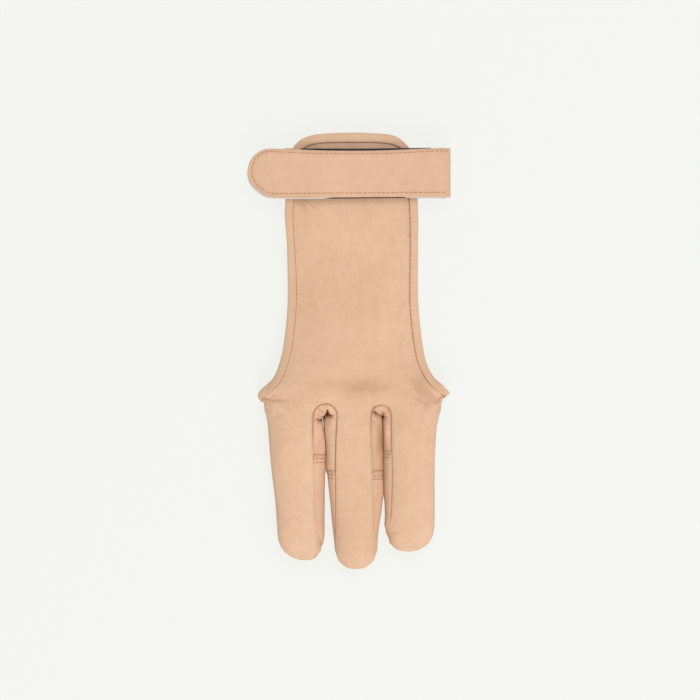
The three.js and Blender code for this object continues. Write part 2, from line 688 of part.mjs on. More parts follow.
// Fourchette: lines one gap, down the side of one finger, round the web and up the side of the next.
function fourchetteFaces(web) {
  const shares = [0, 0.06, 0.22, 0.42, 0.62, 0.82, 0.94, 1];
  const { leftFinger, rightFinger } = web;
  const girthAt = (finger, y, share, direction) => {
    const start = clearTurn(finger, y, direction > 0 ? 1 : fullGirth - 1, direction);
    const end = direction > 0 ? underSeam : fullGirth - underSeam;
    return roundPoint(finger, y, mix(start, end, share));
  };
  const legRows = (finger) => [1, 0.75, 0.5, 0.25, 0].map((share) => (
    mix(-web.reach, clearance / 2 - finger.stall, share)
  ));
  const archPoint = (angle, share) => {
    const direction = new THREE.Vector3(-Math.cos(angle), Math.sin(angle), 0);
    const seam = new THREE.Vector3(web.centre, -web.reach, 0).addScaledVector(direction, web.reach);
    const side = Math.cos(angle) > 0 ? leftFinger : rightFinger;
    seam.z = backHeight(seam.x, seam.y, side, fingerEdges(side, seam.y));
    const widest = new THREE.Vector3(web.line, -web.reach, widestLine);
    widest.addScaledVector(direction, fingerGap / 2);
    const half = (leftFinger.width + rightFinger.width) / 4;
    const first = 1 + (clearance / web.reach) * 0.35;
    const girth = mix(first, underSeam, share);
    if (girth <= widestGirth) {
      const turn = ((girth - 1) / (widestGirth - 1)) * (Math.PI / 2);
      return new THREE.Vector3(
        mix(seam.x, widest.x, Math.sin(turn)),
        mix(seam.y, widest.y, Math.sin(turn)),
        mix(widestLine, seam.z, Math.cos(turn)),
      );
    }
    const under = underCurve(half, (girth - widestGirth) * Math.PI);
    return widest.addScaledVector(direction, under.inwards).setZ(under.height);
  };
  const grid = [];
  for (const y of legRows(leftFinger)) {
    grid.push(shares.map((share) => girthAt(leftFinger, y, share, 1)));
  }
  const archSteps = 9;
  for (let index = 1; index < archSteps; index += 1) {
    const angle = (index / archSteps) * Math.PI;
    grid.push(shares.map((share) => archPoint(angle, share)));
  }
  for (const y of legRows(rightFinger).reverse()) {
    grid.push(shares.map((share) => girthAt(rightFinger, y, share, -1)));
  }
  return gridFaces(grid);
}

// Binding: a strip folded into a C round the leather's edge, swept along the edge loop. The same C, grown by
// a margin, is what the panels are trimmed with.
function bindingGeometry(margin) {
  const slot = clearance - margin;
  const inside = gloveLeather + slot;
  const outside = gloveLeather + clearance + bindingLeather + margin;
  const proud = bindingProud + margin;
  const end = -bindingWidth - margin;
  const nose = -bindingLeather - margin;
  const middle = -gloveLeather / 2;
  const section = [
    { along: end, up: slot },
    { along: nose - clearance, up: slot },
    { along: nose, up: middle },
    { along: nose - clearance, up: -inside },
    { along: end, up: -inside },
    { along: end, up: -outside },
    { along: -bindingLeather, up: -outside },
    { along: -0.2 * bindingLeather + margin, up: -inside },
    { along: margin, up: middle },
    { along: -0.2 * bindingLeather + margin, up: slot },
    { along: -bindingLeather, up: proud },
    { along: end, up: proud },
  ];
  const count = edgeLoop.length;
  const rings = edgeLoop.map((station, index) => {
    const before = edgeLoop[(index + count - 1) % count].point;
    const after = edgeLoop[(index + 1) % count].point;
    const onward = after.clone().sub(before).normalize();
    const away = station.away.clone().addScaledVector(onward, -station.away.dot(onward)).normalize();
    const up = onward.clone().cross(away);
    return section.map((corner) => {
      const along = corner.along === end ? end * station.leg : corner.along;
      return station.point.clone().addScaledVector(away, along).addScaledVector(up, corner.up);
    });
  });
  const positions = [];
  for (let index = 0; index < count; index += 1) {
    const ring = rings[index];
    const next = rings[(index + 1) % count];
    for (let corner = 0; corner < section.length; corner += 1) {
      const following = (corner + 1) % section.length;
      positions.push(ring[corner], next[following], next[corner]);
      positions.push(ring[corner], ring[following], next[following]);
    }
  }
  const geometry = new THREE.BufferGeometry().setFromPoints(positions);
  return mergeVertices(geometry, 1e-4);
}

// Closed mesh as a solid that can be cut.
function solidOf(geometry) {
  const bare = new THREE.BufferGeometry();
  bare.setAttribute("position", geometry.getAttribute("position"));
  if (geometry.index) bare.setIndex(geometry.index);
  const merged = mergeVertices(bare, 1e-4);
  return new wasm.Manifold(new wasm.Mesh({
    numProp: 3,
    vertProperties: new Float32Array(merged.getAttribute("position").array),
    triVerts: new Uint32Array(merged.index.array),
  }));
}

// A panel trimmed clear of the binding that holds its edge. Only crumbs come off, and the panel stays whole.
function trimmed(geometry) {
  const cut = solidOf(geometry).subtract(solidOf(bindingGeometry(0.9 * clearance)));
  const whole = cut.decompose().sort((first, second) => second.volume() - first.volume())[0];
  const mesh = whole.getMesh();
  const result = new THREE.BufferGeometry();
  result.setAttribute("position", new THREE.BufferAttribute(new Float32Array(mesh.vertProperties), 3));
  result.setIndex(Array.from(mesh.triVerts));
  return result;
}

// Course of the strap's inner face in the X-Z plane, from the sewn tab round the wrist to the free end.
const foldRadius = (frontInside - strapInside) / 2;
const strapLayers = strapLeather + clearance + liningThickness;
const backTurn = -tailWidth / 2 + 0.6;
const foldStart = strapFold - foldRadius - strapLayers;
const tabInside = wristTop - gloveLeather - clearance - strapLayers;
function strapCourse() {
  const course = [];
  const add = (x, z, outX, outZ) => course.push({ x, z, outX, outZ, half: strapWidth / 2 });
  const lowTurn = (tabInside - bindingProud - strapInside) / 2;
  add(backTurn + sewnTab, tabInside, 0, 1);
  add(backTurn + 0.72 * sewnTab, tabInside, 0, 1);
  add(backTurn + 0.5 * sewnTab, tabInside - bindingProud, -0.12, 1);
  for (let angle = 90; angle <= 270; angle += 22.5) {
    const turn = THREE.MathUtils.degToRad(angle);
    const middleHeight = strapInside + lowTurn;
    add(
      backTurn + lowTurn * Math.cos(turn), middleHeight + lowTurn * Math.sin(turn),
      Math.cos(turn), Math.sin(turn),
    );
  }
  for (const share of [0.25, 0.5, 0.75]) add(mix(backTurn, foldStart, share), strapInside, 0, -1);
  for (let angle = -90; angle <= 90; angle += 18) {
    const turn = THREE.MathUtils.degToRad(angle);
    const middleHeight = strapInside + foldRadius;
    add(
      foldStart + foldRadius * Math.cos(turn), middleHeight + foldRadius * Math.sin(turn),
      Math.cos(turn), Math.sin(turn),
    );
  }
  const roundStart = -strapFreeEnd + strapWidth / 2;
  for (const share of [0.12, 0.25, 0.4, 0.55, 0.7, 0.85, 1]) {
    add(mix(foldStart, roundStart, share), frontInside, 0, 1);
  }
  const droop = 0.35 * foldRadius;
  for (let angle = 15; angle <= 90; angle += 15) {
    const turn = THREE.MathUtils.degToRad(angle);
    const beyond = Math.sin(turn);
    const slope = (2 * droop * beyond) / (strapWidth / 2);
    add(roundStart - (beyond * strapWidth) / 2, frontInside - droop * beyond * beyond, -slope, 1);
    course[course.length - 1].half = (strapWidth / 2) * Math.cos(turn);
  }
  for (const station of course) {
    const length = Math.hypot(station.outX, station.outZ);
    station.outX /= length;
    station.outZ /= length;
  }
  return course;
}

// One layer of the strap: its outer face stands off the course, and it may show past the strap's edges.
function strapLayer(standOff, thickness, lowShow, highShow, waist) {
  const shares = [-1, -0.5, 0, 0.5, 1];
  const grid = strapCourse().map((station) => shares.map((share) => {
    const onFront = station.outZ > 0.5 && station.z > wristTop;
    const nearMiddle = onFront ? Math.max(0, 1 - ((station.x / strapFold) ** 2)) : 0;
    const grow = share < 0 ? lowShow : highShow;
    const taper = station.half / (strapWidth / 2);
    const dip = share > 0 ? waist * nearMiddle * share : 0;
    return new THREE.Vector3(
      station.x + station.outX * standOff,
      strapCentre + share * (station.half + grow * taper) - dip,
      station.z + station.outZ * standOff,
    );
  }));
  return thicken(gridFaces(grid), thickness);
}

// A flat tape, lying level, with its corners cut: those towards the tail's end may be cut further.
function tape(leftX, rightX, centreY, width, top, highCut) {
  const lowCut = 0.06 * width;
  const outline = new THREE.Shape([
    new THREE.Vector2(leftX + lowCut, -width / 2),
    new THREE.Vector2(rightX - lowCut, -width / 2),
    new THREE.Vector2(rightX, lowCut - width / 2),
    new THREE.Vector2(rightX, width / 2 - highCut),
    new THREE.Vector2(rightX - highCut, width / 2),
    new THREE.Vector2(leftX + highCut, width / 2),
    new THREE.Vector2(leftX, width / 2 - highCut),
    new THREE.Vector2(leftX, lowCut - width / 2),
  ]);
  const geometry = new THREE.ExtrudeGeometry(outline, { depth: tapeThickness, bevelEnabled: false });
  geometry.translate(0, centreY, top - tapeThickness);
  return geometry;
}

const glove = new THREE.Group();
function addPiece(name, geometry, color, roughness) {
  const material = new THREE.MeshStandardMaterial({ color, roughness, metalness: 0 });
  const mesh = new THREE.Mesh(geometry, material);
  mesh.name = name;
  glove.add(mesh);
  return mesh;
}

const tan = 0xe2b898;
const lightTan = 0xe6be9e;
const edgeTan = 0xe0bfa3;
const sideTan = 0xd3a789;
const pale = 0xe9e5df;
const dark = 0x23242c;

addPiece("back_panel", trimmed(thicken(backPanelFaces(), gloveLeather)), tan, 0.75);
addPiece("palm_panel", trimmed(thicken(palmPanelFaces(), gloveLeather)), tan, 0.75);
addPiece("ring_middle_fourchette", thicken(fourchetteFaces(ringWeb), gloveLeather), sideTan, 0.75);
addPiece("middle_index_fourchette", thicken(fourchetteFaces(indexWeb), gloveLeather), sideTan, 0.75);
for (const [name, finger] of Object.entries(fingers)) {
  addPiece(`${name}_stall`, thicken(stallFaces(finger), stallLeather), lightTan, 0.7);
}
addPiece("edge_binding", bindingGeometry(0), edgeTan, 0.7);
addPiece("wrist_strap", strapLayer(strapLayers, strapLeather, 0, 0, strapWaist), lightTan, 0.7);
addPiece("strap_lining", strapLayer(liningThickness, liningThickness, liningShow, 0, 0.2 * strapWaist), pale, 0.9);
const hookTop = frontInside - clearance;
const hookCentre = strapCentre + strapWidth / 2 + hookTapeShow - hookTapeWidth / 2;
const hookCut = 0.06 * hookTapeWidth;
const hookTape = tape(-hookTapeStart, hookTapeEnd, hookCentre, hookTapeWidth, hookTop, hookCut);
addPiece("hook_strip", hookTape, dark, 0.95);
const loopTop = wristTop + clearance + tapeThickness;
const loopCentre = strapCentre - 0.5;
const loopEnd = tailWidth / 2 - loopTapeInset;
const loopTape = tape(-loopEnd, loopEnd, loopCentre, loopTapeWidth, loopTop, 0.75 * tailEndRound);
addPiece("loop_pad", loopTape, dark, 0.95);

// The origin is under the middle of the glove, on the surface it lies on.
const box = new THREE.Box3().setFromObject(glove);
const middle = box.getCenter(new THREE.Vector3());
glove.position.set(-middle.x, -middle.y, -box.min.z);

export default glove;
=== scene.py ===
# Archery glove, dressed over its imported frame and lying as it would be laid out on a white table.
# Lengths are in metres, and values named _mm are in millimetres.
import json
import math

import bpy
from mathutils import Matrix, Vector, noise
from mathutils.bvhtree import BVHTree
from mathutils.kdtree import KDTree

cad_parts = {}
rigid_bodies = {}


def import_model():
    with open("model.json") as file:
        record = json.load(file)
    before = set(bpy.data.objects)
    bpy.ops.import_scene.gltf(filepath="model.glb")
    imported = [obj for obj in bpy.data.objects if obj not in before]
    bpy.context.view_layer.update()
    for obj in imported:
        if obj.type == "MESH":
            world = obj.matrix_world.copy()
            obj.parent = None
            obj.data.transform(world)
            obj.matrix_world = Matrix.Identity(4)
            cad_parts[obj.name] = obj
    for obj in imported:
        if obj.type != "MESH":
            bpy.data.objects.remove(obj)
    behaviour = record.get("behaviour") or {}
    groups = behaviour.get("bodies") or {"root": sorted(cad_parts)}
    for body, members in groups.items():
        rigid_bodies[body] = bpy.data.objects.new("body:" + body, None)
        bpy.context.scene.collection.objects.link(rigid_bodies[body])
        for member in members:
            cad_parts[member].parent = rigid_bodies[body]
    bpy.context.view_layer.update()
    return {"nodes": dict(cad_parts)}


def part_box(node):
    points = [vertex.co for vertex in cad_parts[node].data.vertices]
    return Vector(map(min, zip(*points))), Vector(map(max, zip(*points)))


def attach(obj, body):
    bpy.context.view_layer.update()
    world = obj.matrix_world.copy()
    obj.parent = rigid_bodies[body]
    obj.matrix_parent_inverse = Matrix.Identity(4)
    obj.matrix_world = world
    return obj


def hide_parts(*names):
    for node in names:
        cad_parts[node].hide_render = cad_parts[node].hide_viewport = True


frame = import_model()
nodes = frame["nodes"]
MM = 0.001


# Table, light and camera. The glove lies on a plain white table under soft, nearly shadowless light that
# comes a little more from the wrist's side. The camera looks straight down through a long lens.
table_size = 4.0
table_color = (0.913, 0.921, 0.880, 1)
table_glow = 0.862
table_shade = (0.11, 0.11, 0.11, 1)
bpy.ops.object.select_all(action="DESELECT")
bpy.ops.mesh.primitive_plane_add(size=table_size, location=(0, 0, -0.0003))
table = bpy.context.object
table.name = "table_top"
bpy.ops.object.transform_apply(location=True, rotation=True, scale=True)
table_paint = bpy.data.materials.new("white_table")
table_paint.use_nodes = True
table_shader = table_paint.node_tree.nodes["Principled BSDF"]
table_shader.inputs["Base Color"].default_value = table_shade
table_shader.inputs["Roughness"].default_value = 0.9
table_shader.inputs["Specular IOR Level"].default_value = 0.0
table_shader.inputs["Emission Color"].default_value = table_color
table_shader.inputs["Emission Strength"].default_value = table_glow
table.data.materials.append(table_paint)

sky_strength = 0.62
sky = bpy.data.worlds.new("white_room")
sky.use_nodes = True
sky.node_tree.nodes["Background"].inputs["Color"].default_value = (1.0, 0.998, 0.99, 1)
sky.node_tree.nodes["Background"].inputs["Strength"].default_value = sky_strength
bpy.context.scene.world = sky


def soft_lamp(name, place, size, watts):
    """A square soft lamp that points at the glove."""
    bpy.ops.object.light_add(type="AREA", location=place)
    lamp = bpy.context.object
    lamp.name = name
    lamp.data.shape = "SQUARE"
    lamp.data.size = size
    lamp.data.energy = watts
    lamp.rotation_euler = (-Vector(place)).to_track_quat("-Z", "Y").to_euler()
    return lamp


soft_lamp("wrist_lamp", (0.15, 0.8, 1.3), 0.7, 5.7)
soft_lamp("front_lamp", (0.2, -1.15, 1.0), 0.7, 10.8)
soft_lamp("side_lamp", (0.95, 0.1, 1.1), 0.6, 2.5)

picture_width = 0.35
lens_mm = 200
sensor_mm = 36
leather_top = 0.010
picture_middle = (0.58 * MM, 0.38 * MM)
camera_height = picture_width * lens_mm / sensor_mm + leather_top
bpy.ops.object.camera_add(location=(*picture_middle, camera_height), rotation=(0, 0, 0))
camera = bpy.context.object
camera.data.lens = lens_mm
camera.data.sensor_width = sensor_mm
camera.data.clip_end = 20
bpy.context.scene.camera = camera
bpy.context.scene.view_settings.view_transform = "Standard"


# Back panel: the one large piece of soft tan leather that covers the back of the three fingers, the hand
# and the long wrist tail. It is cut flat, wetted and pulled to shape, so it lies in slow waves.
def pick_alone(piece):
    """Makes one object the selected and active one."""
    bpy.ops.object.select_all(action="DESELECT")
    piece.select_set(True)
    bpy.context.view_layer.objects.active = piece


def take_copy(node, name):
    """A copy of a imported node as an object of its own, merged and in quads."""
    pick_alone(nodes[node])
    bpy.ops.object.duplicate()
    piece = bpy.context.object
    bpy.ops.object.parent_clear(type="CLEAR_KEEP_TRANSFORM")
    piece.name = name
    piece.data.name = name
    piece.data.materials.clear()
    bpy.ops.object.mode_set(mode="EDIT")
    bpy.ops.mesh.select_all(action="SELECT")
    bpy.ops.mesh.remove_doubles(threshold=0.002 * MM)
    bpy.ops.mesh.tris_convert_to_quads(face_threshold=math.radians(50), shape_threshold=math.radians(60))
    bpy.ops.object.mode_set(mode="OBJECT")
    bpy.ops.mesh.customdata_custom_splitnormals_clear()
    return piece


def edge_corners(mesh):
    """The normals of the faces that meet at each edge of a mesh."""
    corners = {}
    for face in mesh.polygons:
        for key in face.edge_keys:
            corners.setdefault(key, []).append(face.normal.copy())
    return corners


def edge_samples(piece, sharp_degrees, step):
    """Points along a mesh's sharp edges, a step apart."""
    mesh = piece.data
    samples = []
    for key, normals in edge_corners(mesh).items():
        if len(normals) == 2 and normals[0].angle(normals[1], 0) < math.radians(sharp_degrees):
            continue
        start = mesh.vertices[key[0]].co
        end = mesh.vertices[key[1]].co
        count = max(1, int((end - start).length / step))
        samples.extend(start.lerp(end, index / count) for index in range(count + 1))
    return samples


def crease_edges(piece, sharp_degrees, crease):
    """Holds a mesh's sharp edges while the rest of it is rounded."""
    mesh = piece.data
    corners = edge_corners(mesh)
    held = mesh.attributes.new("crease_edge", "FLOAT", "EDGE")
    for edge in mesh.edges:
        normals = corners.get(edge.key, [])
        if len(normals) == 2 and normals[0].angle(normals[1], 0) > math.radians(sharp_degrees):
            held.data[edge.index].value = crease


def between_zero_and_one(value):
    return min(1, max(0, value))


def point_tree(points):
    """Points in a tree that finds the nearest of them."""
    tree = KDTree(len(points))
    for index, point in enumerate(points):
        tree.insert(point, index)
    tree.balance()
    return tree


def paint_mask(piece, name, points, near, far):
    """A vertex mask that is 1 within near of the points and fades to 0 at far."""
    tree = point_tree(points)
    mask = piece.data.attributes.new(name, "FLOAT", "POINT")
    for vertex in piece.data.vertices:
        distance = tree.find(vertex.co)[2]
        share = between_zero_and_one((far - distance) / (far - near))
        mask.data[vertex.index].value = share * share * (3 - 2 * share)


def rows_of(names, *rows):
    """A list of rows, each with its values under these names."""
    return [dict(zip(names.split(), row)) for row in rows]


# Slow dips and rises of the soft leather: place and reach in millimetres, then depth in millimetres. The
# depth also sets how much painted shade lies in a dip.
dips = rows_of(
    "x y wide long turn depth",
    (6.0, -17.5, 13.0, 4.5, 0.0, 0.75),
    (-14.0, -17.0, 9.0, 3.5, 20.0, 0.3),
    (38.5, -21.5, 6.5, 3.0, -48.0, 0.7),
    (35.0, -14.5, 4.0, 6.0, -40.0, 0.35),
    (13.5, -78.0, 1.7, 17.0, -5.0, 0.35),
    (-15.0, -77.0, 2.0, 20.0, -2.0, 0.4),
    (-30.5, -26.5, 5.0, 2.0, 15.0, 0.25),
    (21.0, 42.0, 10.0, 16.0, 0.0, -0.3),
    (-20.0, 20.0, 9.0, 22.0, 0.0, 0.25),
)
# Fine creases: each is a short valley from one place to another, in millimetres.
creases = rows_of(
    "start end wide depth",
    ((-27.5, 75.0), (-18.5, 70.3), 0.5, 0.2),
    ((-26.5, 72.5), (-20.8, 69.2), 0.45, 0.16),
    ((-22.5, 75.5), (-16.0, 72.2), 0.5, 0.14),
    ((34.0, -24.0), (41.5, -27.5), 0.6, 0.25),
    ((37.5, -21.5), (42.5, -24.0), 0.5, 0.22),
    ((-2.0, -25.5), (6.0, -27.0), 0.55, 0.16),
    ((-6.0, -24.0), (0.5, -23.2), 0.5, 0.14),
    ((-36.5, -27.5), (-29.0, -28.5), 0.6, 0.14),
    ((12.5, -29.5), (15.0, -34.5), 0.7, 0.2),
    ((12.5, 104.8), (22.0, 100.6), 0.5, 0.45),
)
wave_length = 24 * MM
wave_depth = 0.28 * MM
pucker_length = 6 * MM
pucker_depth = 0.06 * MM
thick_top = 15.5 * MM


def dip_share(point, dip):
    """How near the middle of a dip a point lies, from 0 to 1."""
    turn = math.radians(dip["turn"])
    x = point.x / MM - dip["x"]
    y = point.y / MM - dip["y"]
    along = x * math.cos(turn) + y * math.sin(turn)
    across = y * math.cos(turn) - x * math.sin(turn)
    return math.exp(-((along / dip["wide"]) ** 2) - (across / dip["long"]) ** 2)


def dip_shade_at(point):
    """How much painted shade lies at a place, by how deep it lies in the dips."""
    return between_zero_and_one(sum(dip["depth"] * dip_share(point, dip) for dip in dips))


# Where the worn leather has grown longer or been rubbed rounder: place, reach and move, in millimetres.
pulls = rows_of(
    "x y wide long move",
    (-22.0, -103.0, 13.0, 9.0, (0.9, -1.1)),
    (3.0, -108.0, 12.0, 8.0, (0.0, -0.5)),
    (30.0, -99.0, 13.0, 9.0, (-0.5, -0.8)),
    (33.0, 105.0, 9.0, 7.0, (-3.0, 0.0)),
    (1.0, 111.0, 16.0, 4.0, (0.0, 0.5)),
    (-28.0, 105.0, 8.0, 7.0, (0.8, 0.3)),
    (-46.0, -21.5, 5.0, 5.0, (-0.6, 0.0)),
    (-42.0, -29.5, 4.0, 4.0, (-0.8, 0.0)),
    (46.5, -30.5, 4.0, 4.5, (0.7, 0.0)),
    (43.0, -14.0, 7.0, 8.0, (-0.9, -0.1)),
    (50.0, -24.0, 3.0, 3.0, (-0.6, 0.4)),
    (16.4, -26.5, 4.5, 3.0, (0.0, -0.8)),
    (-18.0, -42.0, 3.0, 11.0, (-0.45, 0.0)),
    (-5.0, -48.0, 3.0, 14.0, (-0.4, 0.0)),
    (22.0, -42.0, 3.0, 14.0, (-0.45, 0.0)),
    (18.5, -88.5, 2.5, 4.0, (-0.7, 0.0)),
    (20.4, -93.6, 2.4, 2.6, (-0.9, -0.1)),
    (-14.0, -97.2, 2.0, 2.0, (0.6, 0.0)),
    (-14.0, -101.2, 2.2, 2.0, (-0.7, 0.1)),
    (-31.5, 72.0, 5.0, 15.0, (-0.7, 0.0)),
    (-31.5, 42.0, 5.0, 21.0, (-0.5, 0.0)),
    (-48.0, 78.0, 7.0, 6.0, (0.35, 0.5)),
)
# Where the leather is finely wrinkled: place and reach in millimetres. The wrinkles are bumped and painted
# with shade along their lines.
wrinkled = rows_of(
    "x y wide long",
    (-21.5, 73.2, 6.5, 3.3),
    (38.5, -23.0, 6.0, 5.0),
    (-36.0, -28.5, 8.0, 3.5),
    (13.0, -36.0, 3.0, 4.0),
    (-12.0, -29.5, 4.0, 2.5),
)


def spot_share(x, y, spot):
    """How near the middle of a soft round spot a place in millimetres lies, from 0 to 1."""
    across = (x - spot["x"]) / spot["wide"]
    along = (y - spot["y"]) / spot["long"]
    return math.exp(-across * across - along * along)


def pulled_aside(point, by=pulls):
    """How far the leather at a point has moved sideways and lengthways."""
    moved = Vector((0, 0, 0))
    for pull in by:
        moved += Vector((*pull["move"], 0)) * MM * spot_share(point.x / MM, point.y / MM, pull)
    return moved


def pull_piece(piece, by):
    """Moves the leather of a whole piece aside."""
    for vertex in piece.data.vertices:
        vertex.co += pulled_aside(vertex.co, by)


def wrinkled_at(point):
    """How finely wrinkled the leather is at a point, from 0 to 1."""
    return min(1, sum(spot_share(point.x / MM, point.y / MM, spot) for spot in wrinkled))


def settle(point):
    """How far the soft leather at a point has moved up or down."""
    lift = wave_depth * noise.noise(point / wave_length) * 2
    lift += pucker_depth * noise.noise(point / pucker_length) * 2
    x = point.x / MM
    y = point.y / MM
    for dip in dips:
        lift -= dip["depth"] * MM * dip_share(point, dip)
    for crease in creases:
        start = Vector(crease["start"])
        end = Vector(crease["end"])
        run = end - start
        share = between_zero_and_one((Vector((x, y)) - start).dot(run) / run.length_squared)
        beside = (Vector((x, y)) - start - run * share).length / crease["wide"]
        fade = math.sin(math.pi * between_zero_and_one(0.1 + 0.8 * share))
        lift -= crease["depth"] * MM * fade * math.exp(-beside * beside)
    height_share = between_zero_and_one(point.z / (0.5 * thick_top))
    return lift * height_share * height_share


def round_off(piece, levels, rounds=3, furthest=0.8 * MM):
    """Rounds a coarse mesh, moved out first so that its rounded skin keeps the coarse mesh's size."""
    goal = [vertex.co.copy() for vertex in piece.data.vertices]
    modifier = piece.modifiers.new("round", "SUBSURF")
    modifier.levels = levels
    modifier.render_levels = levels
    for _ in range(rounds):
        depsgraph = bpy.context.evaluated_depsgraph_get()
        rounded = piece.evaluated_get(depsgraph).data
        skin = [rounded.vertices[index].co.copy() for index in range(len(goal))]
        for vertex, place, now in zip(piece.data.vertices, goal, skin):
            moved = vertex.co + (place - now) * 0.8
            away = moved - place
            if away.length > furthest:
                moved = place + away.normalized() * furthest
            vertex.co = moved
        piece.data.update()
    pick_alone(piece)
    bpy.ops.object.modifier_apply(modifier=modifier.name)


def soften(piece, levels, crease, sharp_degrees=50):
    """Rounds a copied piece, lets it settle, records how near each place is to an edge of the leather, and
    how much painted shade lies in its dips.
    """
    seams = edge_samples(piece, sharp_degrees, 0.4 * MM)
    crease_edges(piece, sharp_degrees, crease)
    round_off(piece, levels)
    paint_mask(piece, "near_edge", seams, 0.15 * MM, 1.3 * MM)
    for name in ["painted_fold_shade", "wrinkled", "near_stitch", "painted_seam_shade"]:
        piece.data.attributes.new(name, "FLOAT", "POINT")
    fold_shade_values = piece.data.attributes["painted_fold_shade"].data
    wrinkles = piece.data.attributes["wrinkled"].data
    for vertex in piece.data.vertices:
        fold_shade_values[vertex.index].value = dip_shade_at(vertex.co)
        wrinkles[vertex.index].value = wrinkled_at(vertex.co)
        vertex.co.z += settle(vertex.co)
        vertex.co += pulled_aside(vertex.co)
    bpy.ops.object.shade_smooth()


def new_group(name, inputs, outputs):
    """A shader node group with named float or colour sockets."""
    group = bpy.data.node_groups.new(name, "ShaderNodeTree")
    for socket, kind, value in inputs:
        made = group.interface.new_socket(name=socket, in_out="INPUT", socket_type=kind)
        made.default_value = value
    for socket, kind in outputs:
        group.interface.new_socket(name=socket, in_out="OUTPUT", socket_type=kind)
    return group, group.nodes.new("NodeGroupInput"), group.nodes.new("NodeGroupOutput")


def wire(tree, kind, inputs=None, **settings):
    """A node with its settings, and each input given as a value or as another node's output."""
    node = tree.nodes.new(kind)
    for key, value in settings.items():
        setattr(node, key, value)
    for key, value in (inputs or {}).items():
        if isinstance(value, bpy.types.NodeSocket):
            tree.links.new(value, node.inputs[key])
        else:
            node.inputs[key].default_value = value
    return node


def noise_of(tree, place, scale, detail, roughness=0.5):
    """Soft noise over a place."""
    given = {"Vector": place, "Scale": scale, "Detail": detail, "Roughness": roughness}
    return wire(tree, "ShaderNodeTexNoise", given)


def calc(tree, operation, *values, **settings):
    """A sum or product of some values."""
    return wire(tree, "ShaderNodeMath", dict(enumerate(values)), operation=operation, **settings)


def spread_over(tree, value, given, wanted):
    """A value spread from one range over another."""
    ranges = {"From Min": given[0], "From Max": given[1], "To Min": wanted[0], "To Max": wanted[1]}
    return wire(tree, "ShaderNodeMapRange", {"Value": value, **ranges})


def blend(tree, share, first, second):
    """Two colours mixed by a share."""
    return wire(tree, "ShaderNodeMix", {"Factor": share, "A": first, "B": second}, data_type="RGBA")


def leather_grain_group():
    """Height of the grain: small pebbles, finer pores between them and a slow wrinkle over both."""
    group, given, result = new_group(
        "leather grain",
        [("Pebbles", "NodeSocketFloat", 1100.0), ("Wrinkle", "NodeSocketFloat", 0.5)],
        [("Height", "NodeSocketFloat"), ("Pores", "NodeSocketFloat")],
    )
    place = wire(group, "ShaderNodeTexCoord").outputs["Object"]
    bend = noise_of(group, place, 420.0, 2.0)
    pull = wire(
        group, "ShaderNodeVectorMath", {0: bend.outputs["Color"], 1: (0.0012,) * 3},
        operation="MULTIPLY",
    )
    moved = wire(group, "ShaderNodeVectorMath", {0: place, 1: pull.outputs[0]}, operation="ADD").outputs[0]
    cells = wire(
        group, "ShaderNodeTexVoronoi", {"Vector": moved, "Scale": given.outputs["Pebbles"]},
        feature="SMOOTH_F1",
    )
    pores = noise_of(group, place, 2600.0, 3.0, 0.6)
    slow = noise_of(group, moved, 130.0, 5.0, 0.62)
    round_tops = calc(group, "SUBTRACT", 1.0, cells.outputs["Distance"])
    wrinkle = calc(group, "MULTIPLY", slow.outputs["Fac"], given.outputs["Wrinkle"])
    grain = calc(group, "MULTIPLY_ADD", pores.outputs["Fac"], 0.35, round_tops.outputs[0])
    both = calc(group, "ADD", grain.outputs[0], wrinkle.outputs[0])
    turned = wire(
        group, "ShaderNodeMapping",
        {"Vector": moved, "Rotation": (0, 0, math.radians(-35)), "Scale": (0.009, 0.0015, 0.004)},
        vector_type="TEXTURE",
    )
    fine_lines = noise_of(group, turned.outputs[0], 1.0, 2.0)
    crumpled = wire(group, "ShaderNodeAttribute", attribute_name="wrinkled").outputs["Fac"]
    deep_lines = calc(group, "MULTIPLY", crumpled, 8.0)
    lines = calc(group, "MULTIPLY_ADD", fine_lines.outputs["Fac"], deep_lines.outputs[0], both.outputs[0])
    group.links.new(lines.outputs[0], result.inputs["Height"])
    group.links.new(pores.outputs["Fac"], result.inputs["Pores"])
    return group


